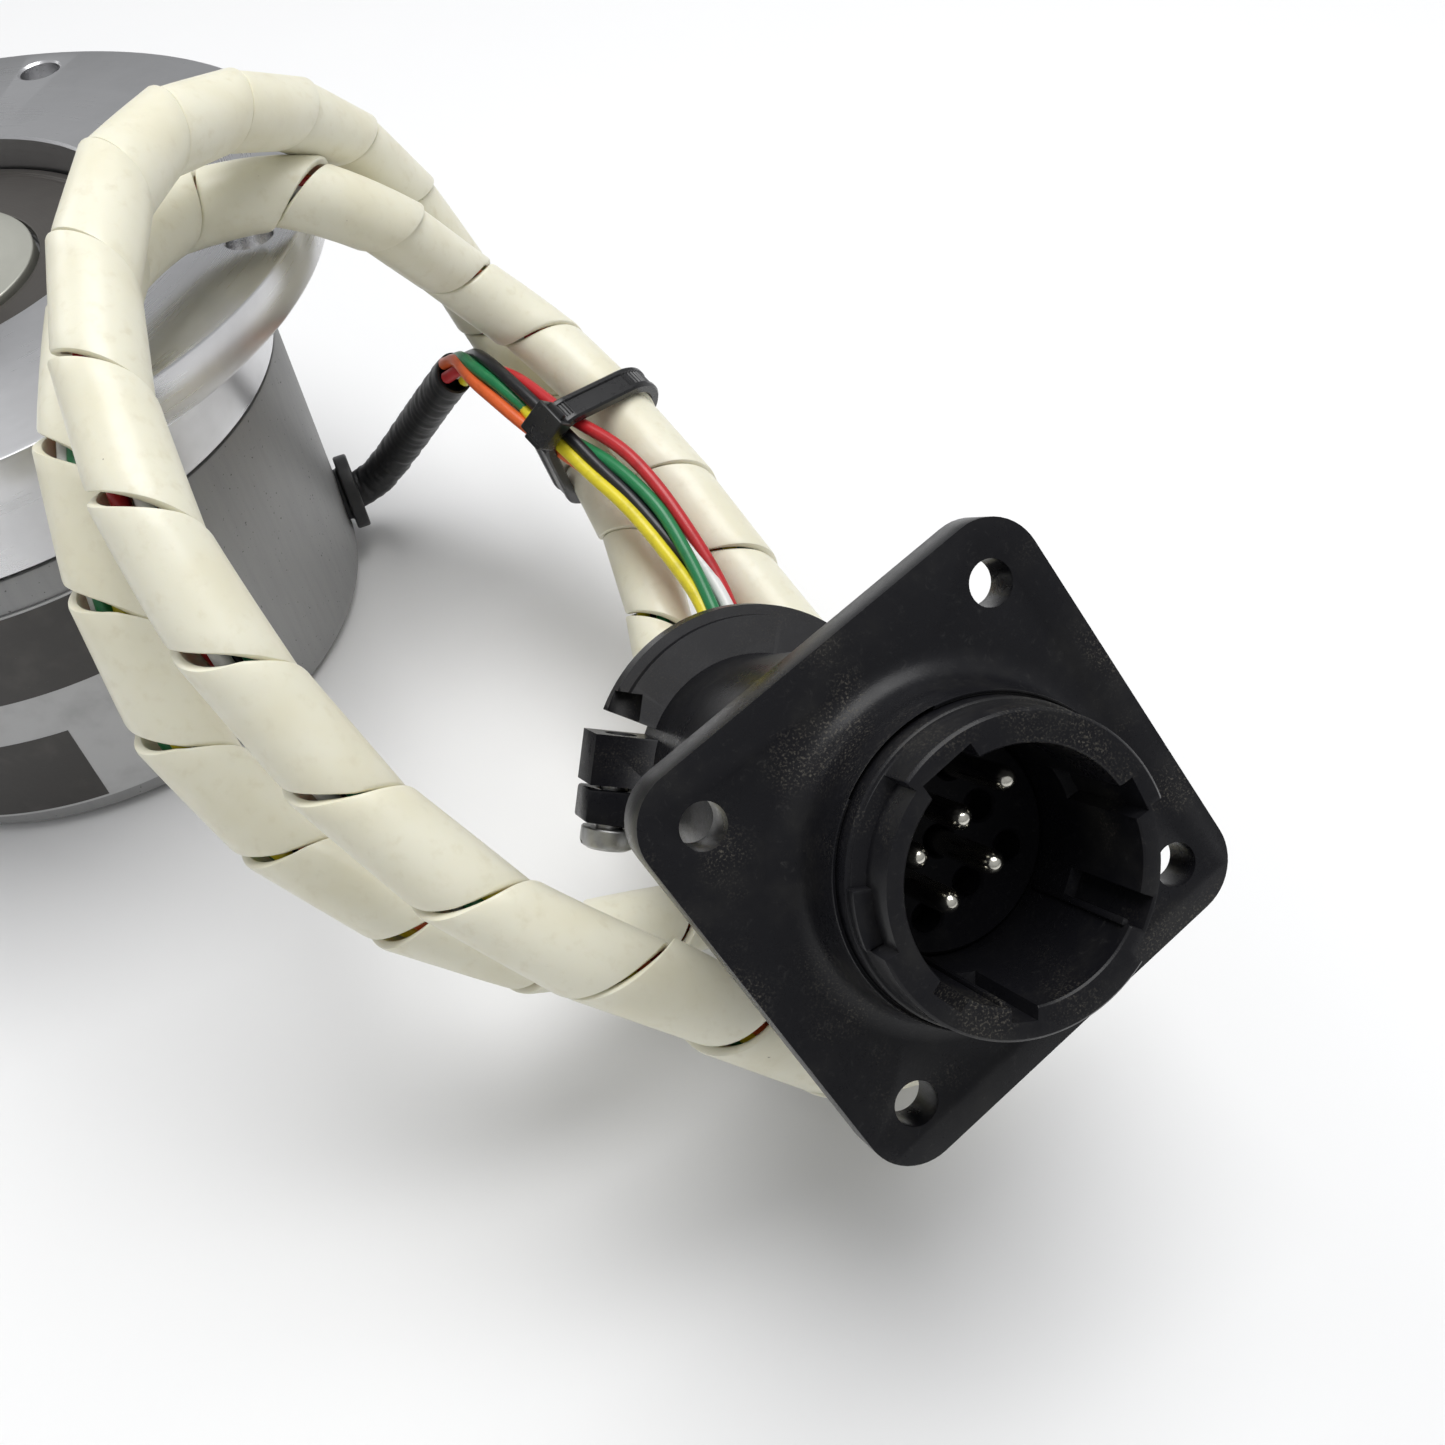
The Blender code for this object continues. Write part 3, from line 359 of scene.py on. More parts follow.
class Finish:
    """A procedural material, built up layer by layer on object coordinates in millimetres."""

    def __init__(self, name, color, roughness, metallic=0.0, **sockets):
        self.material = bpy.data.materials.new(name)
        self.material.use_nodes = True
        self.tree = self.material.node_tree
        self.shader = self.tree.nodes["Principled BSDF"]
        self.shader.inputs["Metallic"].default_value = metallic
        for key, value in sockets.items():
            self.shader.inputs[key.replace("_", " ")].default_value = value
        coordinate = self.node("TexCoord")
        scale = self.node("VectorMath")
        scale.operation = "SCALE"
        scale.inputs["Scale"].default_value = 1.0 / MM
        self.link(coordinate.outputs["Object"], scale.inputs[0])
        self.place = scale.outputs["Vector"]
        self.color = color
        self.color_out = None
        self.rough = roughness
        self.rough_out = None
        self.height = None

    def link(self, source, target):
        self.tree.links.new(source, target)

    def node(self, kind, **values):
        """A shader node with values on its sockets, whose names' spaces are underscores here."""
        node = self.tree.nodes.new("ShaderNode" + kind)
        for key, value in values.items():
            node.inputs[key.replace("_", " ")].default_value = value
        return node

    def math(self, operation, a, b=None, c=None):
        node = self.node("Math")
        node.operation = operation
        for socket, value in zip(node.inputs, (a, b, c)):
            if value is None:
                continue
            if isinstance(value, (int, float)):
                socket.default_value = value
            else:
                self.link(value, socket)
        return node.outputs[0]

    def stretch(self, x, y, z):
        """Coordinates stretched by a factor along each axis."""
        node = self.node("VectorMath")
        node.operation = "MULTIPLY"
        node.inputs[1].default_value = (x, y, z)
        self.link(self.place, node.inputs[0])
        return node.outputs["Vector"]

    def round_place(self, along=1.0, around=1.0, outward=1.0):
        """Coordinates as distance out from Z, distance round it and height."""
        split = self.node("SeparateXYZ")
        self.link(self.place, split.inputs[0])
        x, y, z = split.outputs
        out = self.math("SQRT", self.math("ADD", self.math("MULTIPLY", x, x), self.math("MULTIPLY", y, y)))
        turn = self.math("ARCTAN2", y, x)
        join_up = self.node("CombineXYZ")
        self.link(self.math("MULTIPLY", out, outward), join_up.inputs[0])
        self.link(self.math("MULTIPLY", turn, around), join_up.inputs[1])
        self.link(self.math("MULTIPLY", z, along), join_up.inputs[2])
        return join_up.outputs[0]

    def noise(self, scale, detail=3.0, place=None, roughness=0.55, distortion=0.0):
        node = self.node("TexNoise", Scale=scale, Detail=detail, Roughness=roughness, Distortion=distortion)
        self.link(self.place if place is None else place, node.inputs["Vector"])
        return node.outputs["Fac"]

    def cells(self, scale):
        node = self.node("TexVoronoi", Scale=scale)
        self.link(self.place, node.inputs["Vector"])
        return node.outputs["Distance"]

    def band(self, value, low, high):
        """0 below low, 1 above high, and a smooth step between them."""
        node = self.node("MapRange", From_Min=low, From_Max=high)
        node.interpolation_type = "SMOOTHSTEP"
        self.link(value, node.inputs["Value"])
        return node.outputs["Result"]

    def mix_color(self, amount, color):
        """Lay a color over what is there, by an amount that varies."""
        node = self.node("Mix")
        node.data_type = "RGBA"
        self.link(amount, node.inputs["Factor"])
        if self.color_out is None:
            node.inputs["A"].default_value = (*self.color, 1.0)
        else:
            self.link(self.color_out, node.inputs["A"])
        node.inputs["B"].default_value = (*color, 1.0)
        self.color_out = node.outputs["Result"]
        return self

    def add_rough(self, value, amount):
        base = self.rough if self.rough_out is None else self.rough_out
        self.rough_out = self.math("MULTIPLY_ADD", self.math("SUBTRACT", value, 0.5), amount, base)
        return self

    def add_height(self, value, amount):
        """Raise the surface by an amount in millimetres where value is 1."""
        step = self.math("MULTIPLY", value, amount)
        self.height = step if self.height is None else self.math("ADD", self.height, step)
        return self

    def done(self):
        if self.color_out is None:
            self.shader.inputs["Base Color"].default_value = (*self.color, 1.0)
        else:
            self.link(self.color_out, self.shader.inputs["Base Color"])
        if self.rough_out is None:
            self.shader.inputs["Roughness"].default_value = self.rough
        else:
            clamp = self.node("Clamp", Min=0.04)
            self.link(self.rough_out, clamp.inputs["Value"])
            self.link(clamp.outputs[0], self.shader.inputs["Roughness"])
        if self.height is not None:
            bump = self.node("Bump", Strength=1.0, Distance=MM)
            self.link(self.height, bump.inputs["Height"])
            self.link(bump.outputs["Normal"], self.shader.inputs["Normal"])
        self.material.diffuse_color = (*self.color, 1.0)
        return self.material


def turned_metal(name, color, roughness, lines, wear, metallic=1.0):
    """Metal with fine tool marks running round Z, and a faint haze of handling."""
    finish = Finish(name, color, roughness, metallic)
    marks = finish.noise(1.0, 2.0, finish.round_place(along=lines, around=0.8, outward=lines))
    haze = finish.noise(0.09, 4.0)
    spots = finish.noise(0.8, 5.0, roughness=0.7)
    finish.mix_color(finish.band(haze, 0.42, 0.75), tuple(c * (1.0 - wear) for c in color))
    finish.mix_color(finish.band(spots, 0.64, 0.76), tuple(c * (1.0 - 0.6 * wear) for c in color))
    finish.add_rough(marks, 0.16).add_rough(haze, 0.25)
    finish.add_height(marks, 0.0035)
    return finish.done()


def plain_metal(name, color, roughness, grain=0.9):
    finish = Finish(name, color, roughness, 1.0)
    noise = finish.noise(grain, 4.0)
    fine = finish.noise(grain * 9.0, 2.0)
    finish.mix_color(finish.band(noise, 0.45, 0.75), tuple(c * 0.8 for c in color))
    finish.add_rough(noise, 0.2).add_height(fine, 0.004)
    return finish.done()


def plastic(name, color, roughness, grain=3.0, relief=0.008):
    finish = Finish(name, color, roughness)
    fine = finish.noise(grain, 3.0)
    broad = finish.noise(0.25, 3.0)
    finish.mix_color(finish.band(broad, 0.45, 0.8), tuple(c * 0.7 for c in color))
    finish.add_rough(fine, 0.15).add_rough(broad, 0.15)
    finish.add_height(fine, relief)
    return finish.done()


def cover_metal(name):
    """Matte cover, slightly streaked along its height, with a few dark specks."""
    color = (0.34, 0.34, 0.338)
    finish = Finish(name, color, 0.56, 0.7)
    streaks = finish.noise(1.0, 4.0, finish.round_place(along=0.12, around=40.0, outward=0.2))
    grain = finish.noise(7.0, 2.0)
    specks = finish.noise(2.6, 2.0, roughness=0.4)
    finish.mix_color(finish.band(streaks, 0.35, 0.85), (0.32, 0.32, 0.322))
    finish.mix_color(finish.band(specks, 0.7, 0.76), (0.14, 0.14, 0.14))
    finish.add_rough(streaks, 0.1).add_rough(grain, 0.12)
    finish.add_height(grain, 0.007).add_height(streaks, 0.0015)
    return finish.done()


def wrap_plastic(name):
    """Cream polyethylene band: soft shine, faint mottling and a few handling marks."""
    color = (0.81, 0.785, 0.64)
    finish = Finish(name, color, 0.36, IOR=1.5, Subsurface_Weight=0.12, Subsurface_Radius=(1.0, 0.8, 0.5),
                    Subsurface_Scale=MM)
    broad = finish.noise(0.12, 3.0)
    mottle = finish.noise(0.9, 4.0)
    marks = finish.noise(0.55, 5.0, finish.stretch(1.0, 1.0, 2.2), roughness=0.75, distortion=1.2)
    flecks = finish.noise(1.7, 2.0, roughness=0.3)
    finish.mix_color(finish.band(broad, 0.4, 0.7), (0.77, 0.735, 0.57))
    finish.mix_color(finish.band(mottle, 0.5, 0.85), (0.73, 0.69, 0.53))
    finish.mix_color(finish.band(marks, 0.68, 0.84), (0.62, 0.58, 0.45))
    finish.mix_color(finish.band(flecks, 0.82, 0.85), (0.38, 0.34, 0.26))
    finish.add_rough(mottle, 0.2).add_rough(marks, 0.2)
    finish.add_height(mottle, 0.012).add_height(finish.noise(6.0, 2.0), 0.003)
    return finish.done()


def connector_plastic(name, dust, shine):
    """Black moulded plastic: fine spark-eroded grain, grey scuffs and pale dust lodged in places."""
    finish = Finish(name, (0.0075, 0.0075, 0.0092), 0.46, Specular_IOR_Level=shine)
    grain = finish.noise(9.0, 2.0)
    broad = finish.noise(0.16, 4.0, roughness=0.6)
    scuff = finish.noise(1.6, 6.0, roughness=0.78, distortion=0.8)
    speck = finish.noise(6.5, 3.0, roughness=0.6)
    patch = finish.noise(0.13, 2.0)
    finish.mix_color(finish.band(broad, 0.48, 0.8), (0.019, 0.0185, 0.018))
    finish.mix_color(finish.band(scuff, 0.55, 0.84), (0.042, 0.041, 0.040))
    dusty = finish.math("MULTIPLY", finish.band(speck, 0.50, 0.74), finish.band(patch, 0.50, 0.70))
    finish.mix_color(finish.math("MULTIPLY", dusty, 0.5 * dust), (0.17, 0.155, 0.125))
    finish.add_rough(broad, 0.3).add_rough(scuff, 0.25).add_rough(dusty, 0.3)
    finish.add_height(grain, 0.006).add_height(scuff, 0.008)
    return finish.done()


def wire_plastic(name, color):
    finish = Finish(name, color, 0.33, IOR=1.5)
    noise = finish.noise(0.7, 3.0)
    fine = finish.noise(5.0, 2.0)
    finish.mix_color(finish.band(noise, 0.45, 0.8), tuple(c * 0.72 for c in color))
    finish.add_rough(noise, 0.2).add_height(fine, 0.006)
    return finish.done()


def board_resin(name):
    """Green board with lighter tracks under the mask."""
    color = (0.03, 0.17, 0.075)
    finish = Finish(name, color, 0.34)
    tracks = finish.cells(0.32)
    fine = finish.noise(4.0, 2.0)
    finish.mix_color(finish.band(tracks, 0.32, 0.36), (0.055, 0.26, 0.11))
    finish.add_rough(fine, 0.15).add_height(finish.band(tracks, 0.32, 0.36), 0.03)
    return finish.done()


def disc_glass(name):
    """Clear disc with a track of dark radial slots near its rim."""
    color = (0.72, 0.78, 0.80)
    finish = Finish(name, color, 0.12, IOR=1.5)
    turn = finish.round_place(along=0.0, around=1.0, outward=1.0)
    split = finish.node("SeparateXYZ")
    finish.link(turn, split.inputs[0])
    slots = finish.math("SINE", finish.math("MULTIPLY", split.outputs[1], 250.0))
    inner = finish.band(split.outputs[0], 17.2, 17.3)
    outer = finish.band(split.outputs[0], 19.8, 19.9)
    track = finish.math("MULTIPLY", inner, finish.math("SUBTRACT", 1.0, outer))
    dark = finish.math("MULTIPLY", finish.band(slots, -0.1, 0.1), track)
    finish.mix_color(dark, (0.02, 0.02, 0.022))
    finish.add_rough(finish.noise(0.5, 3.0), 0.1)
    return finish.done()


def label_film(name, color, fade):
    finish = Finish(name, color, 0.42)
    broad = finish.noise(0.22, 4.0)
    fine = finish.noise(3.0, 3.0)
    scratch = finish.noise(1.3, 5.0, finish.round_place(along=2.0, around=14.0), roughness=0.8)
    finish.mix_color(finish.band(broad, 0.45, 0.8), fade)
    finish.mix_color(finish.band(scratch, 0.66, 0.8), tuple(0.5 * (a + 0.3) for a in color))
    finish.add_rough(fine, 0.2).add_height(fine, 0.003)
    return finish.done()


LOOKS = {
    "machined_aluminium": (turned_metal, (0.66, 0.66, 0.67), 0.31, 7.0, 0.16),
    "cover_grey": (cover_metal,),
    "dark_anodised": (turned_metal, (0.062, 0.056, 0.050), 0.42, 5.0, 0.2, 0.35),
    # Shaft hub: bare grey metal whose cream tint is painted reflection of the cream wrap, not a colour of its
    # own
    "polished_hub": (turned_metal, (0.60, 0.60, 0.53), 0.38, 4.0, 0.18, 0.8),
    "shaft_steel": (turned_metal, (0.60, 0.60, 0.61), 0.2, 9.0, 0.08),
    "bearing_steel": (turned_metal, (0.58, 0.58, 0.60), 0.16, 8.0, 0.08),
    "bearing_brass": (plain_metal, (0.66, 0.47, 0.20), 0.32),
    "spring_steel": (plain_metal, (0.30, 0.31, 0.33), 0.34),
    "clear_disc": (disc_glass,),
    "black_moulding": (plastic, (0.02, 0.02, 0.022), 0.45),
    "board_green": (board_resin,),
    "label_black": (label_film, (0.045, 0.041, 0.038), (0.07, 0.064, 0.058)),
    "label_pale": (label_film, (0.50, 0.50, 0.50), (0.40, 0.40, 0.40)),
    "soft_black": (plastic, (0.013, 0.013, 0.014), 0.46, 2.2, 0.02),
    "tie_nylon": (plastic, (0.010, 0.010, 0.011), 0.30, 2.0, 0.01),
    "wrap_cream": (wrap_plastic,),
    "connector_black": (connector_plastic, 1.0, 0.2),
    "insert_black": (connector_plastic, 0.0, 0.08),
    "clamp_black": (connector_plastic, 0.5, 0.1),
    "pin_plate": (plain_metal, (0.72, 0.70, 0.62), 0.16, 2.0),
    "screw_zinc": (plain_metal, (0.38, 0.38, 0.37), 0.36, 1.6),
}
WIRE_COLORS = {
    "orange": (0.74, 0.13, 0.03), "red": (0.50, 0.02, 0.025), "green": (0.018, 0.21, 0.075),
    "black": (0.012, 0.012, 0.014), "white": (0.72, 0.72, 0.70), "yellow": (0.78, 0.66, 0.03),
}
LOOKS.update({"wire_" + color: (wire_plastic, value) for color, value in WIRE_COLORS.items()})
_made = {}


def look(name):
    if name not in _made:
        maker, *values = LOOKS[name]
        _made[name] = maker(name, *values)
    return _made[name]


# ---- the lead


def smooth_path(route, count):
    """Even points on a natural cubic spline through the route's points."""
    points = np.array(route, dtype=float)
    chord = np.linalg.norm(np.diff(points, axis=0), axis=1) ** 0.7
    knots = np.concatenate(([0.0], np.cumsum(chord)))
    size = len(points)
    matrix = np.eye(size)
    right = np.zeros((size, 3))
    for i in range(1, size - 1):
        before = knots[i] - knots[i - 1]
        after = knots[i + 1] - knots[i]
        matrix[i, i - 1:i + 2] = (before, 2.0 * (before + after), after)
        slope_in = (points[i] - points[i - 1]) / before
        slope_out = (points[i + 1] - points[i]) / after
        right[i] = 6.0 * (slope_out - slope_in)
    curvature = np.linalg.solve(matrix, right)
    dense = []
    for i in range(size - 1):
        span = knots[i + 1] - knots[i]
        for t in np.linspace(0.0, 1.0, 24, endpoint=(i == size - 2)):
            a = 1.0 - t
            bow = ((a ** 3 - a) * curvature[i] + (t ** 3 - t) * curvature[i + 1]) * span ** 2 / 6.0
            dense.append(a * points[i] + t * points[i + 1] + bow)
    dense = np.array(dense)
    run = distances(dense)
    even = np.linspace(0.0, run[-1], count)
    return np.stack([np.interp(even, run, dense[:, k]) for k in range(3)], axis=1)


def distances(points):
    steps = np.linalg.norm(np.diff(points, axis=0), axis=1)
    return np.concatenate(([0.0], np.cumsum(steps)))


def tangents_of(points):
    tangents = np.gradient(points, axis=0)
    return tangents / np.linalg.norm(tangents, axis=1)[:, None]


def carried_frames(tangents, across):
    """Two directions across each point of a path, carried along from the first without twisting."""
    sides = []
    for tangent in tangents:
        across = across - tangent * np.dot(across, tangent)
        across = across / np.linalg.norm(across)
        sides.append(across)
    sides = np.array(sides)
    return sides, np.cross(tangents, sides)


def sample(values, stations, at):
    """Rows of values between stations, for any array of places."""
    flat = np.clip(at.ravel(), stations[0], stations[-1])
    out = np.stack([np.interp(flat, stations, values[:, k]) for k in range(values.shape[1])], axis=1)
    return out.reshape(at.shape + (values.shape[1],))


def smoothed(values, width):
    kernel = np.hanning(width + 2)[1:-1]
    kernel /= kernel.sum()
    ends = ((width // 2, width - 1 - width // 2),) + ((0, 0),) * (values.ndim - 1)
    padded = np.pad(values, ends, "reflect", reflect_type="odd")
    if values.ndim == 1:
        return np.convolve(padded, kernel, "valid")
    return np.stack([np.convolve(padded[:, k], kernel, "valid") for k in range(values.shape[1])], axis=1)


def grid_mesh(name, rings, cap_ends=True, sharp=40.0):
    """A closed skin over rings of points, each joined to the next."""
    count, around = len(rings), len(rings[0])
    verts = [tuple(p) for ring in rings for p in ring]
    faces = []
    for i in range(count - 1):
        for k in range(around):
            j = (k + 1) % around
            faces.append((i * around + k, i * around + j, (i + 1) * around + j, (i + 1) * around + k))
    if cap_ends:
        faces.append(tuple(range(around)))
        faces.append(tuple((count - 1) * around + k for k in range(around)))
    return mesh_object(name, verts, faces, sharp)


def make_wrap():
    """The cream band, wound left-handed: each turn stays straight, so gaps open on the outside of bends."""
    centre = smooth_path(WRAP_ROUTE, 2024)
    run = distances(centre)
    tangents = tangents_of(centre)
    side, up = carried_frames(tangents, np.cross(tangents[0], (0.0, 0.0, 1.0)))
    spacing = run[1] - run[0]
    bend = smoothed(np.gradient(tangents, axis=0) / spacing, 32)
    marks = np.array(TURN_MARKS)
    turns = smoothed(np.interp(run, marks[:, 0], marks[:, 1]), 90)
    pitch = smoothed(spacing / np.gradient(turns), 40)
    outer = WRAP_D / 2.0
    inner = outer - WRAP_WALL
    first, last = 0.5 * pitch[0], run[-1] - 0.5 * pitch[-1]
    steps = int((turns[-1] - turns[0]) * 40)
    # Even steps of turn rather than of length
    stations = np.interp(np.linspace(np.interp(first, run, turns), np.interp(last, run, turns), steps),
                         turns, run)
    here = sample(centre, run, stations)
    ahead = sample(tangents, run, stations)
    p = np.interp(stations, run, pitch)
    k = sample(bend, run, stations)
    curving = np.linalg.norm(k, axis=1)
    angle = -2.0 * np.pi * np.interp(stations, run, turns)

    def outwards(at):
        return np.cos(angle)[:, None] * sample(side, run, at) + np.sin(angle)[:, None] * sample(up, run, at)

    inward = (k * outwards(stations)).sum(axis=1)
    outside = np.clip(-inward / np.maximum(curving, 1e-4), 0.0, 1.0)
    apart = np.array(TURN_GAPS)
    gap = 0.1 + np.interp(stations, apart[:, 0], apart[:, 1]) * outside
    half = 0.5 * (p - gap / np.clip(1.0 - outer * inward, 0.5, 1.6))
    straight = np.minimum(1.0, 0.34 / np.maximum(0.5 * curving * half ** 2, 1e-6))
    section = (
        (-1.0, 0.35, outer), (-0.66, 0.0, outer), (-0.33, 0.0, outer), (0.0, 0.0, outer),
        (0.33, 0.0, outer), (0.66, 0.0, outer), (1.0, -0.35, outer), (1.0, -0.1, outer - 0.06),
        (1.0, 0.0, outer - 0.2), (1.0, 0.0, inner + 0.15), (1.0, -0.2, inner), (0.33, 0.0, inner),
        (-0.33, 0.0, inner), (-1.0, 0.2, inner), (-1.0, 0.0, inner + 0.15), (-1.0, 0.0, outer - 0.2),
        (-1.0, 0.1, outer - 0.06),
    )
    rings = []
    for share, inset, radius in section:
        offset = share * half + inset
        place_there = stations + offset
        lift = radius + 0.13 * share
        over = np.clip(place_there - run[-1], 0.0, None) - np.clip(run[0] - place_there, 0.0, None)
        curved = sample(centre, run, place_there) + over[:, None] * sample(tangents, run, place_there)
        chord = here + offset[:, None] * ahead
        axis = curved * (1.0 - straight[:, None]) + chord * straight[:, None]
        rings.append(axis + lift * outwards(place_there))
    band = grid_mesh("spiral_wrap", np.stack(rings, axis=1).tolist())
    show(band, "wrap_cream")
    return band, centre


def make_wires(wrap_centre):
    """Six wires loose from the sleeve to the wrap, then in a slow twist inside it to the connector."""
    loose = smooth_path(WIRE_ROUTE, 130)
    centre = np.concatenate((loose, wrap_centre[4::4]))
    tangents = tangents_of(centre)
    run = distances(centre)
    loose_end = distances(loose)[-1]
    up = np.array(LAY_UP)
    side = np.cross(up, tangents)
    side /= np.linalg.norm(side, axis=1)[:, None]
    first = int(np.searchsorted(run, loose_end))
    side[first:] = carried_frames(tangents[first:], side[first])[0]
    out = np.cross(tangents, side)
    stations = np.array(WIRE_STATIONS)
    inside = np.clip(run - loose_end, 0.0, None)
    for color, lay in WIRE_LAY.items():
        lay = np.array(lay)
        x = smoothed(np.interp(run, stations, lay[:, 0]), 17)
        y = smoothed(np.interp(run, stations, lay[:, 1]), 17)
        radius, turn = math.hypot(*lay[-1]), math.atan2(lay[-1][1], lay[-1][0])
        wander = turn + inside * 0.055 + 0.5 * np.sin(inside * 0.021 + turn)
        ring = min(radius, 1.42)
        share = np.clip(inside / 6.0, 0.0, 1.0)
        x = x * (1.0 - share) + share * ring * np.cos(wander)
        y = y * (1.0 - share) + share * ring * np.sin(wander)
        points = centre + x[:, None] * side + y[:, None] * out
        wire = round_cord("wire_" + color, points, WIRE_D, 3)
        show(wire, "wire_" + color)


def round_cord(name, points, diameter, resolution):
    curve = bpy.data.curves.new(name, "CURVE")
    curve.dimensions = "3D"
    curve.bevel_depth = diameter / 2.0 * MM
    curve.bevel_resolution = resolution
    curve.use_fill_caps = True
    spline = curve.splines.new("POLY")
    spline.points.add(len(points) - 1)
    for target, point in zip(spline.points, points):
        target.co = (*(Vector(point) * MM), 1.0)
    return link(name, curve)


def make_sleeve():
    """Shrunk black tube over the wires, creased a little where it bends, with an open mouth."""
    centre = smooth_path(SLEEVE_ROUTE, 110)
    tangents = tangents_of(centre)
    run = distances(centre)
    side, up = carried_frames(tangents, np.cross(tangents[0], (0.0, 0.0, 1.0)))
    around = 48
    turn = 2.0 * np.pi * np.arange(around) / around
    radius = SLEEVE_D / 2.0

    def ring(i, size):
        s = run[i]
        crease = (0.05 * np.sin(1.9 * s) * np.cos(turn - 0.6)
                  + 0.045 * np.sin(3.7 * s + 1.0) * np.cos(2.0 * turn)
                  + 0.03 * np.sin(6.1 * s + 2.0 * turn))
        flat = 1.0 + 0.07 * np.clip((s - 18.0) / 12.0, 0.0, 1.0) * np.cos(2.0 * turn)
        reach = size * flat + crease
        return (centre[i] + (reach * np.cos(turn))[:, None] * side[i]
                + (reach * np.sin(turn))[:, None] * up[i])

    last = len(centre) - 1
    rings = [ring(i, radius) for i in range(last)]
    rings += [ring(last, radius - 0.04), ring(last, radius - 0.3), ring(last - 14, radius - 0.35)]
    sleeve = grid_mesh("cable_sleeve", [r.tolist() for r in rings])
    show(sleeve, "soft_black")


def crossing(route, plane_pos, plane_aim):
    """Where a route passes a plane near its middle."""
    points = smooth_path(route, 900)
    side = (points - plane_pos) @ plane_aim
    spots = []
    for i in range(len(points) - 1):
        near = np.linalg.norm(points[i] - plane_pos) < 12.0
        if near and side[i] * side[i + 1] <= 0.0:
            spots.append(points[i])
    return spots


def make_tie():
    """Nylon tie pulled round both strands of wrap and the wires: a ribbed band and its locking head."""
    aim = Vector(TIE_AIM).normalized()
    middle = Vector(TIE_POS)
    across = aim.cross(Vector((0.0, 0.0, 1.0))).normalized()
    up = aim.cross(across)
    circles = [(spot, WRAP_D / 2.0) for spot in crossing(WRAP_ROUTE, np.array(middle), np.array(aim))]
    wire_spot = crossing(WIRE_ROUTE, np.array(middle), np.array(aim))[0]
    circles.append((wire_spot, LOOSE_BUNDLE_R))
    flat = []
    for spot, radius in circles:
        offset = Vector(spot) - middle
        flat.append((offset.dot(across), offset.dot(up), radius))
    count = 240
    rings = []
    for i in range(count):
        angle = 2.0 * math.pi * i / count
        ux, uy = math.cos(angle), math.sin(angle)
        x, y, radius = max(flat, key=lambda c: c[0] * ux + c[1] * uy + c[2])
        rib = 0.10 if i % 4 < 2 else 0.0
        low, high, half = radius + TIE_GAP, radius + TIE_GAP + TIE_T, TIE_W / 2.0
        section = (
            (low, -half + 0.15), (low + 0.15, -half), (high - 0.2, -half), (high, -half + 0.2),
            (high, -half + 0.55), (high - 0.22 + rib, -half + 0.65), (high - 0.22 + rib, half - 0.65),
            (high, half - 0.55), (high, half - 0.2), (high - 0.2, half), (low + 0.15, half),
            (low, half - 0.15),
        )
        rings.append([(x + r * ux, y + r * uy, z) for r, z in section])
    rings.append(rings[0])
    band = grid_mesh("cable_tie", rings, cap_ends=False)
    wx, wy, wr = flat[-1]
    away = Vector((wx, wy)).normalized()
    start = wr + TIE_GAP + TIE_T * 0.3
    head = block("head", (start, start + 1.9), (-1.7, 1.7), (-1.75, 1.75))
    cut(head, block("slot", (start + 0.6, start + 1.4), (-2.0, 2.0), (-1.15, 1.15)))
    soften(head, 0.25, 3)
    tongue = soften(block("tongue", (start + 0.65, start + 1.35), (-2.1, 2.3), (-1.05, 1.05)), 0.2, 2)
    turn = Matrix.Rotation(math.atan2(away.y, away.x), 4, "Z")
    basis = Matrix((across, up, aim)).transposed().to_4x4()
    place(band, middle, matrix=basis)
    for piece in (head, tongue):
        piece.matrix_world = (Matrix.Translation(middle * MM) @ basis
                              @ Matrix.Translation(Vector((wx, wy, 0.0)) * MM) @ turn)
    head.name, tongue.name = "cable_tie_head", "cable_tie_tail"
    for piece in (band, head, tongue):
        show(piece, "tie_nylon", "cable_tie")


# ---- the encoder


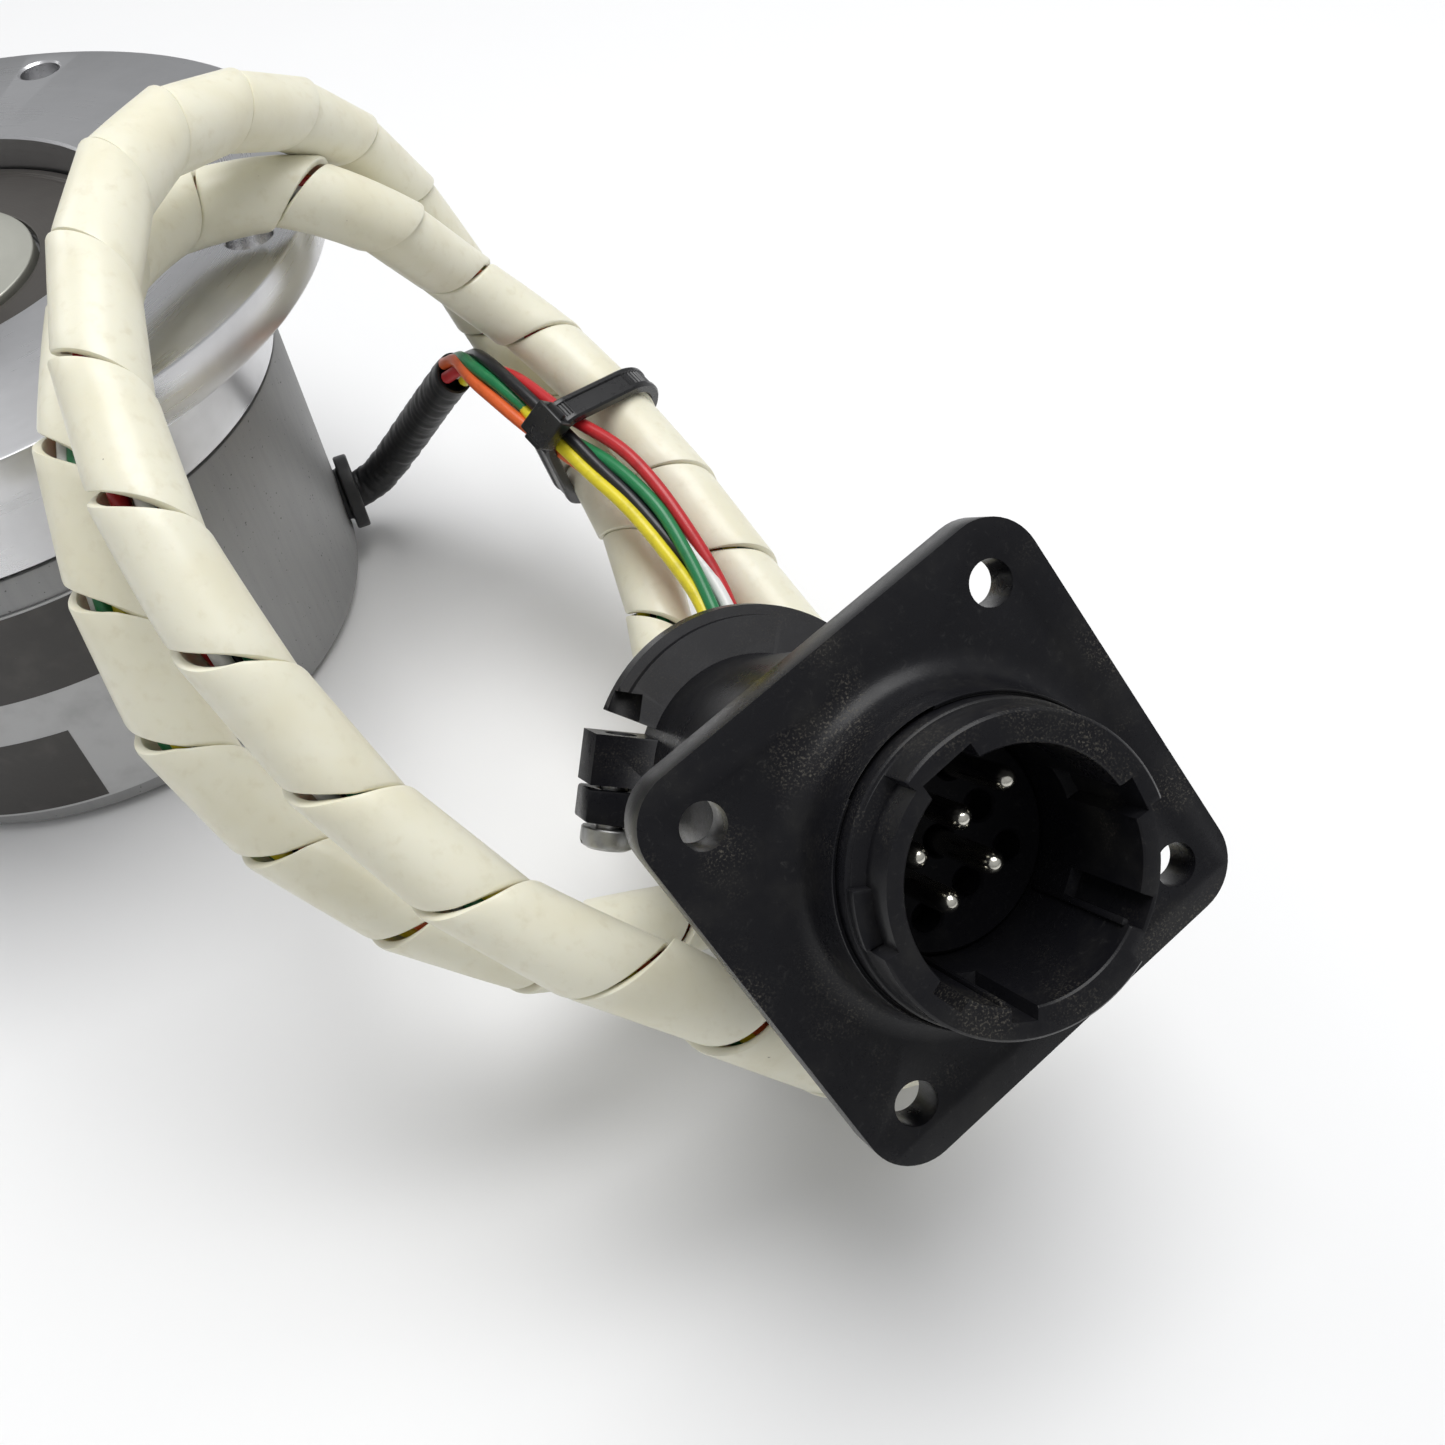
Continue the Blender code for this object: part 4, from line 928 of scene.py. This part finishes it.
def make_flange():
    under = FACE_Z - FLANGE_T
    rim = [
        (RECESS_R + 0.25, FACE_Z), (FLANGE_R - 0.35, FACE_Z), (FLANGE_R - 0.1, FACE_Z - 0.1),
        (FLANGE_R, FACE_Z - 0.35), (FLANGE_R, under + 0.35), (FLANGE_R - 0.1, under + 0.1),
        (FLANGE_R - 0.35, under), (BODY_R + 0.8, under), (BODY_R + 0.15, under - 0.15),
        (BODY_R, under - 0.7), (BODY_R, SEAM_Z + 0.45), (BODY_R - 0.2, SEAM_Z + 0.25),
    ]
    inside = [
        (30.0, SEAM_Z + 0.25), (30.0, 30.6), (29.0, 30.6),
        (29.0, 29.0), (30.0, 29.0), (30.0, 27.0), (24.0, 27.0), (24.0, 40.5),
        (14.5, 40.5), (14.5, 23.6), (11.21, 23.6), (11.21, 33.4), (10.0, 33.4), (10.0, 37.1),
        (11.21, 37.1), (11.21, RECESS_Z), (RECESS_R, RECESS_Z), (RECESS_R, FACE_Z - 0.25),
    ]
    flange = turned("mounting_flange", rim + inside, 200, 30.0)
    for i in range(4):
        spot = polar(FACE_HOLE_PITCH_R, FACE_HOLE_AZIMUTH + 90.0 * i)
        tool = turned("hole", [
            (0.0, under - 1.0), (FACE_HOLE_R, under - 1.0), (FACE_HOLE_R, FACE_Z - 0.22),
            (FACE_HOLE_R + 1.2, FACE_Z + 1.0), (0.0, FACE_Z + 1.0)], 40)
        cut(flange, place(tool, spot))
    clean_faces(flange, 30.0)
    show(flange, "machined_aluminium")
    ring_profile = soft_profile([
        (13.15, RECESS_Z + 0.3), (RECESS_R - 0.3, RECESS_Z + 0.3), (RECESS_R - 0.3, 46.2),
        (RECESS_R - 1.1, 46.2), (RECESS_R - 1.3, 46.0), (RECESS_R - 1.6, 46.0), (RECESS_R - 1.8, 46.2),
        (13.15, 46.2)], 0.12)
    dust = turned("dust_ring", ring_profile, 160)
    show(dust, "dark_anodised")


def make_rotor():
    profile = [
        (0.0, 14.0), (SHAFT_R - 0.5, 14.0), (SHAFT_R, 14.5), (SHAFT_R, 67.2), (SHAFT_R - 0.12, 67.45),
        (SHAFT_R - 0.6, 67.9), (SHAFT_R - 0.9, 68.0), (1.5, 68.0), (0.9, 67.3), (0.0, 66.9),
    ]
    show(turned("shaft", profile, 96, 25.0), "shaft_steel", body="rotor")
    hub_profile = soft_profile([
        (SHAFT_R + 0.15, RECESS_Z + 0.35), (12.75, RECESS_Z + 0.35), (12.75, 46.75), (9.3, 46.75),
        (9.1, 46.55), (8.8, 46.55), (8.6, 46.75), (SHAFT_R + 0.15, 46.75)], 0.2)
    hub = turned("shaft_hub", hub_profile, 160)
    show(hub, "polished_hub", body="rotor")


def side_turn(azimuth):
    """Turns Z to point outwards at an azimuth."""
    return (Matrix.Rotation(math.radians(azimuth), 4, "Z")
            @ Matrix.Rotation(math.radians(90.0), 4, "Y"))


def make_cover():
    wall = BODY_R - 1.45
    profile = [
        (0.0, 0.0), (BODY_R - 2.9, 0.0), (BODY_R - 2.0, 0.1), (BODY_R - 1.2, 0.42), (BODY_R - 0.55, 1.0),
        (BODY_R - 0.15, 1.8), (BODY_R, 2.8), (BODY_R, SEAM_Z - 0.3), (BODY_R - 0.12, SEAM_Z - 0.06),
        (BODY_R - 0.3, SEAM_Z), (wall, SEAM_Z), (wall, 3.0), (wall - 1.2, 1.8), (0.0, 1.8),
    ]
    cover = turned("rear_cover", profile, 200, 30.0)
    cut(cover, place(rod(3.4, 20.0, 40.0),
                     (0.0, 0.0, GROMMET_Z), matrix=side_turn(GROMMET_AZIMUTH)))
    for azimuth in COVER_SCREW_AZIMUTHS:
        tool = rod(1.3, 29.0, 40.0, 32)
        cut(cover, place(tool, (0.0, 0.0, COVER_SCREW_Z), matrix=side_turn(azimuth)))
    clean_faces(cover, 30.0)
    show(cover, "cover_grey")
    for i, azimuth in enumerate(COVER_SCREW_AZIMUTHS):
        profile = [
            (0.0, 30.3), (1.0, 30.3), (1.0, 32.05), (2.25, 32.05), (2.3, 32.15), (2.3, 32.5), (2.15, 32.85),
            (1.6, 33.1), (0.0, 33.2),
        ]
        screw = turned("cover_screw_%d" % (i + 1), profile, 48)
        for angle in (0.0, 90.0):
            cut(screw, place(block("slot", (-1.35, 1.35), (-0.2, 0.2), (32.6, 34.0)), azimuth=angle))
        place(screw, (0.0, 0.0, COVER_SCREW_Z), matrix=side_turn(azimuth))
        show(clean_faces(screw, 30.0), "screw_zinc")
    make_label()
    profile = soft_profile([
        (2.5, 29.4), (3.1, 29.4), (3.1, 32.2), (4.45, 32.2), (4.45, 33.8), (2.5, 33.8)], 0.3)
    grommet = turned("cable_grommet", profile, 64)
    place(grommet, (0.0, 0.0, GROMMET_Z), matrix=side_turn(GROMMET_AZIMUTH))
    show(grommet, "soft_black")


def make_label():
    """A film with a dark upper band, a pale lower one and a dark block on it; no lettering."""
    low, high, start, end = 3.2, 28.9, -125.0, -57.0
    base = BODY_R + 0.06
    pale = arc_block("label_plate", base, BODY_R + 0.26, low, high, start, end, 70)
    show(pale, "label_pale")
    for name, bottom, top, left, right in (
        ("label_band", 18.8, high - 0.25, start + 0.5, end - 0.5),
        ("label_block", 3.5, 13.5, start + 0.5, -70.0),
    ):
        print_on = arc_block(name, BODY_R + 0.25, BODY_R + 0.29, bottom, top, left, right, 60)
        show(print_on, "label_black", node="label_plate")


# ---- the connector


def connector_matrix(azimuth=0.0):
    x = Vector(PLATE_X).normalized()
    y = Vector(PLATE_Y).normalized()
    z = x.cross(y).normalized()
    y = z.cross(x)
    basis = Matrix((x, y, z)).transposed().to_4x4()
    return (Matrix.Translation(Vector(PLATE_POS) * MM) @ basis
            @ Matrix.Rotation(math.radians(azimuth), 4, "Z"))


def make_receptacle():
    profile = [
        (SHELL_BORE_R, SHELL_FRONT - 0.12), (SHELL_BORE_R + 0.12, SHELL_FRONT), (SHELL_R - 0.18, SHELL_FRONT),
        (SHELL_R, SHELL_FRONT - 0.16), (SHELL_R, LEDGE_Z + 0.25), (SHELL_R + 0.06, LEDGE_Z),
        (LEDGE_R - 0.12, LEDGE_Z - 0.02), (LEDGE_R, LEDGE_Z - 0.14), (LEDGE_R, BOSS_Z + 0.02),
        (LEDGE_R + 0.03, BOSS_Z - 0.35), (LEDGE_R + 0.16, BOSS_Z - 0.35), (LEDGE_R + 0.18, BOSS_Z - 0.05),
        (BOSS_R - 0.04, BOSS_Z - 0.02), (BOSS_R, BOSS_Z - 0.2), (BOSS_R + 0.03, 2.4), (BOSS_R + 0.2, 1.5),
        (BOSS_R + 0.55, 0.85), (BOSS_R + 1.05, 0.4), (BOSS_R + 1.6, 0.12), (BOSS_R + 2.2, 0.0),
        (12.6, -0.1), (12.6, -1.4), (10.6, -3.2), (10.6, -13.5), (6.4, -13.5), (6.4, -12.3),
        (SHELL_BORE_R, -12.3),
    ]
    shell = turned("receptacle_shell", profile, 144, 28.0)
    plate = prism("plate", rounded_square(PLATE_W, PLATE_CORNER_R), -PLATE_T, 0.0)
    cut(plate, rod(SHELL_R, -5.0, 2.0, 96))
    join(shell, plate)
    half = PLATE_HOLE_SPACING / 2.0
    for x in (-half, half):
        for y in (-half, half):
            cut(shell, place(rod(PLATE_HOLE_R, -5.0, 2.0), (x, y, 0.0)))
    for start, end in LUG_GAPS:
        cut(shell, arc_block("gap", LUG_GAP_R, SHELL_R + 1.0, LEDGE_Z + 0.12, SHELL_FRONT + 1.0,
                             start, end, 40))
    cut(shell, arc_block("pocket", LEDGE_R + 0.02, BOSS_R - 0.03, 3.4, BOSS_Z + 0.5, 166.0, 208.0, 24))
    for azimuth, width in KEYWAYS:
        slot = block("keyway", (SHELL_BORE_R - 1.0, SHELL_BORE_R + 0.8), (-width / 2.0, width / 2.0),
                     (1.5, SHELL_FRONT + 1.0))
        cut(shell, place(slot, azimuth=azimuth))
    soften(shell, 0.14, 2, 30.0)
    shell.matrix_world = connector_matrix()
    show(shell, "connector_black")
    # Ramps that close the end of each gap between the lugs, and ribs that run down the bore
    for number, (start, end, top) in enumerate(((236.0, 257.5, 7.1), (70.0, 77.5, 7.1))):
        ramp = arc_block("lug_ramp_%d" % (number + 1), LUG_GAP_R - 0.1, LEDGE_R - 0.06, LEDGE_Z - 0.3, top,
                         start, end, 14)
        soften(ramp, 0.12, 2).matrix_world = connector_matrix()
        show(ramp, "connector_black", node="receptacle_shell")
    for number, azimuth in enumerate((27.0, 314.0)):
        rib = block("bore_rib_%d" % (number + 1), (SHELL_BORE_R - 0.28, SHELL_BORE_R + 0.15), (-0.22, 0.22),
                    (-1.8, SHELL_FRONT - 0.5))
        soften(rib, 0.1, 2).matrix_world = connector_matrix(azimuth)
        show(rib, "connector_black", node="receptacle_shell")


def make_insert():
    profile = [
        (0.0, -12.0), (SHELL_BORE_R - 0.4, -12.0), (SHELL_BORE_R - 0.2, -11.8),
        (SHELL_BORE_R - 0.2, INSERT_FACE - 0.2), (SHELL_BORE_R - 0.4, INSERT_FACE), (0.0, INSERT_FACE),
    ]
    insert = turned("contact_insert", profile, 96)
    for i in (-1, 0, 1):
        for j in (-1, 0, 1):
            tool = turned("hole", [
                (0.0, INSERT_FACE - 3.0), (1.0, INSERT_FACE - 3.0), (1.0, INSERT_FACE - 0.2),
                (1.5, INSERT_FACE + 0.4), (0.0, INSERT_FACE + 0.4)], 24)
            cut(insert, place(tool, (i * PIN_PITCH, j * PIN_PITCH, 0.0)))
    clean_faces(insert, 30.0)
    insert.matrix_world = connector_matrix()
    show(insert, "insert_black")
    for number, (i, j) in enumerate(PIN_PLACES):
        nose = 1.1
        profile = [(0.0, INSERT_FACE - 2.7), (PIN_R, INSERT_FACE - 2.7), (PIN_R, PIN_TIP - nose)]
        for k in range(1, 8):
            angle = math.radians(90.0 * k / 8.0)
            profile.append((PIN_R * math.cos(angle), PIN_TIP - nose + nose * math.sin(angle)))
        profile.append((0.0, PIN_TIP - nose + nose))
        name = "contact_pin_%d" % (number + 1)
        pin = turned(name, profile, 40)
        pin.matrix_world = connector_matrix() @ Matrix.Translation(
            Vector((i * PIN_PITCH, j * PIN_PITCH, 0.0)) * MM)
        show(pin, "pin_plate")


def make_clamp():
    """The barrel behind the connector, with a half collar, two ears and a saddle held by screws."""
    there = connector_matrix(45.0)
    profile = [
        (7.4, -13.8), (10.7, -13.8), (10.95, -13.95), (11.0, -14.3), (11.0, -18.6), (10.9, -19.6),
        (9.75, -32.0), (9.6, -33.4), (9.6, CLAMP_REAR + 0.25), (9.35, CLAMP_REAR), (7.4, CLAMP_REAR),
    ]
    body = turned("clamp_body", profile, 128, 28.0)
    join(body, arc_block("collar", 8.6, 13.6, CLAMP_REAR + 0.05, -35.3, 14.0, 166.0, 72))
    cut(body, arc_block("collar_step", 12.75, 14.2, -36.2, -34.8, 10.0, 170.0, 72))
    for side in (-1.0, 1.0):
        inner, outer = sorted((side * 8.8, side * 14.6))
        join(body, block("ear", (inner, outer), (-2.5, 1.6), (CLAMP_REAR + 0.05, -33.6)))
    across = Matrix.Rotation(math.radians(90.0), 4, "X")
    for side in (-1.0, 1.0):
        cut(body, place(rod(1.35, -5.0, 6.0, 32), (side * CLAMP_SCREW_X, 0.0, CLAMP_SCREW_Z), matrix=across))
    cut(body, block("mouth", (-10.4, 10.4), (-12.0, -2.6), (CLAMP_REAR - 1.0, -33.2)))
    soften(body, 0.22, 2, 32.0).matrix_world = there
    show(body, "clamp_black")
    outline = [
        (-14.6, -2.9), (-14.6, -5.6), (-9.0, -5.9), (-7.6, -6.9), (-6.0, -7.7), (-3.5, -8.0), (3.5, -8.0),
        (6.0, -7.7), (7.6, -6.9), (9.0, -5.9), (14.6, -5.6), (14.6, -2.9), (9.5, -2.9), (7.5, -3.5),
        (5.0, -3.8), (-5.0, -3.8), (-7.5, -3.5), (-9.5, -2.9),
    ]
    saddle = prism("clamp_saddle", outline, CLAMP_REAR + 0.2, -33.8)
    for side in (-1.0, 1.0):
        cut(saddle, place(rod(1.35, 0.0, 9.0, 32), (side * CLAMP_SCREW_X, 0.0, CLAMP_SCREW_Z), matrix=across))
    soften(saddle, 0.25, 2, 32.0).matrix_world = there
    show(saddle, "clamp_black")
    for number, side in enumerate((-1.0, 1.0)):
        name = "clamp_screw_%d" % (number + 1)
        profile = [
            (0.0, -1.2), (1.0, -1.2), (1.1, -1.1), (1.1, 6.1), (2.2, 6.1), (2.3, 6.2), (2.3, 7.2),
            (2.15, 7.6), (1.7, 7.85), (0.0, 7.95),
        ]
        screw = turned(name, profile, 56)
        cut(screw, block("slot", (-3.0, 3.0), (-0.3, 0.3), (7.25, 9.0)))
        clean_faces(screw, 30.0)
        spot = Matrix.Translation(Vector((side * CLAMP_SCREW_X, 0.0, CLAMP_SCREW_Z)) * MM)
        screw.matrix_world = there @ spot @ across
        show(screw, "screw_zinc")


# ---- what keeps its CAD mesh

KEPT_LOOKS = {
    "bearing_brass": ("bearing_spacer", "board_post_1", "board_post_2", "board_post_3"),
    "machined_aluminium": ("disc_hub",),
    "clear_disc": ("code_disc", "lamp", "phase_mask"),
    "bearing_steel": ("front_bearing_outer", "front_bearing_inner", "front_bearing_balls",
        "rear_bearing_outer", "rear_bearing_inner", "rear_bearing_balls"),
    "spring_steel": ("preload_washer", "retaining_ring"),
    "black_moulding": ("optical_fork", "photo_sensor", "wire_header"),
    "board_green": ("circuit_board",),
    "screw_zinc": ("board_screw_1", "board_screw_2", "board_screw_3"),
    "soft_black": ("cover_seal",),
}


def dress_kept_nodes():
    for finish, names in KEPT_LOOKS.items():
        for name in names:
            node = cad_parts[name]
            for slot in node.material_slots:
                slot.material = look(finish)
            if not node.material_slots:
                node.data.materials.append(look(finish))


# ---- studio


LOW_SKY = (0.62, 0.63, 0.64, 1.0)
HIGH_SKY = (0.95, 0.96, 0.98, 1.0)
# Each area light's name, place in metres, size and power
LAMPS = (("overhead", (0.16, 0.02, 0.62), 0.42, 3.1), ("window", (-0.55, 0.35, 0.50), 0.40, 1.0))
LAMP_AIM = (0.05, -0.03, 0.03)


def make_studio():
    bpy.ops.mesh.primitive_plane_add(size=6.0, location=(0.0, 0.0, -0.00002))
    floor = bpy.context.active_object
    floor.name = "studio_floor"
    paper = Finish("studio_paper", (0.86, 0.86, 0.86), 0.7)
    paper.add_rough(paper.noise(0.05, 2.0), 0.1)
    floor.data.materials.append(paper.done())
    world = bpy.data.worlds.new("studio")
    world.use_nodes = True
    tree = world.node_tree
    backdrop = tree.nodes["Background"]
    backdrop.inputs["Strength"].default_value = 0.52
    coordinate = tree.nodes.new("ShaderNodeTexCoord")
    split = tree.nodes.new("ShaderNodeSeparateXYZ")
    ramp = tree.nodes.new("ShaderNodeValToRGB")
    tree.links.new(coordinate.outputs["Generated"], split.inputs[0])
    tree.links.new(split.outputs[2], ramp.inputs["Fac"])
    tree.links.new(ramp.outputs["Color"], backdrop.inputs["Color"])
    for stop, position, color in zip(ramp.color_ramp.elements, (0.0, 0.85), (LOW_SKY, HIGH_SKY)):
        stop.position = position
        stop.color = color
    bpy.context.scene.world = world
    for name, spot, size, power in LAMPS:
        lamp = bpy.data.lights.new(name, "AREA")
        lamp.shape = "SQUARE"
        lamp.size = size
        lamp.energy = power
        thing = link(name, lamp)
        thing.location = spot
        aim = Vector(LAMP_AIM) - Vector(spot)
        thing.rotation_euler = aim.to_track_quat("-Z", "Y").to_euler()
    view = bpy.context.scene.view_settings
    view.view_transform = "Standard"
    view.look = "None"
    view.exposure = 0.0
    view.gamma = 1.0


make_camera()
make_flange()
make_rotor()
make_cover()
wrap, wrap_centre = make_wrap()
make_sleeve()
make_receptacle()
make_insert()
make_clamp()
make_tie()
make_wires(wrap_centre)
dress_kept_nodes()
make_studio()
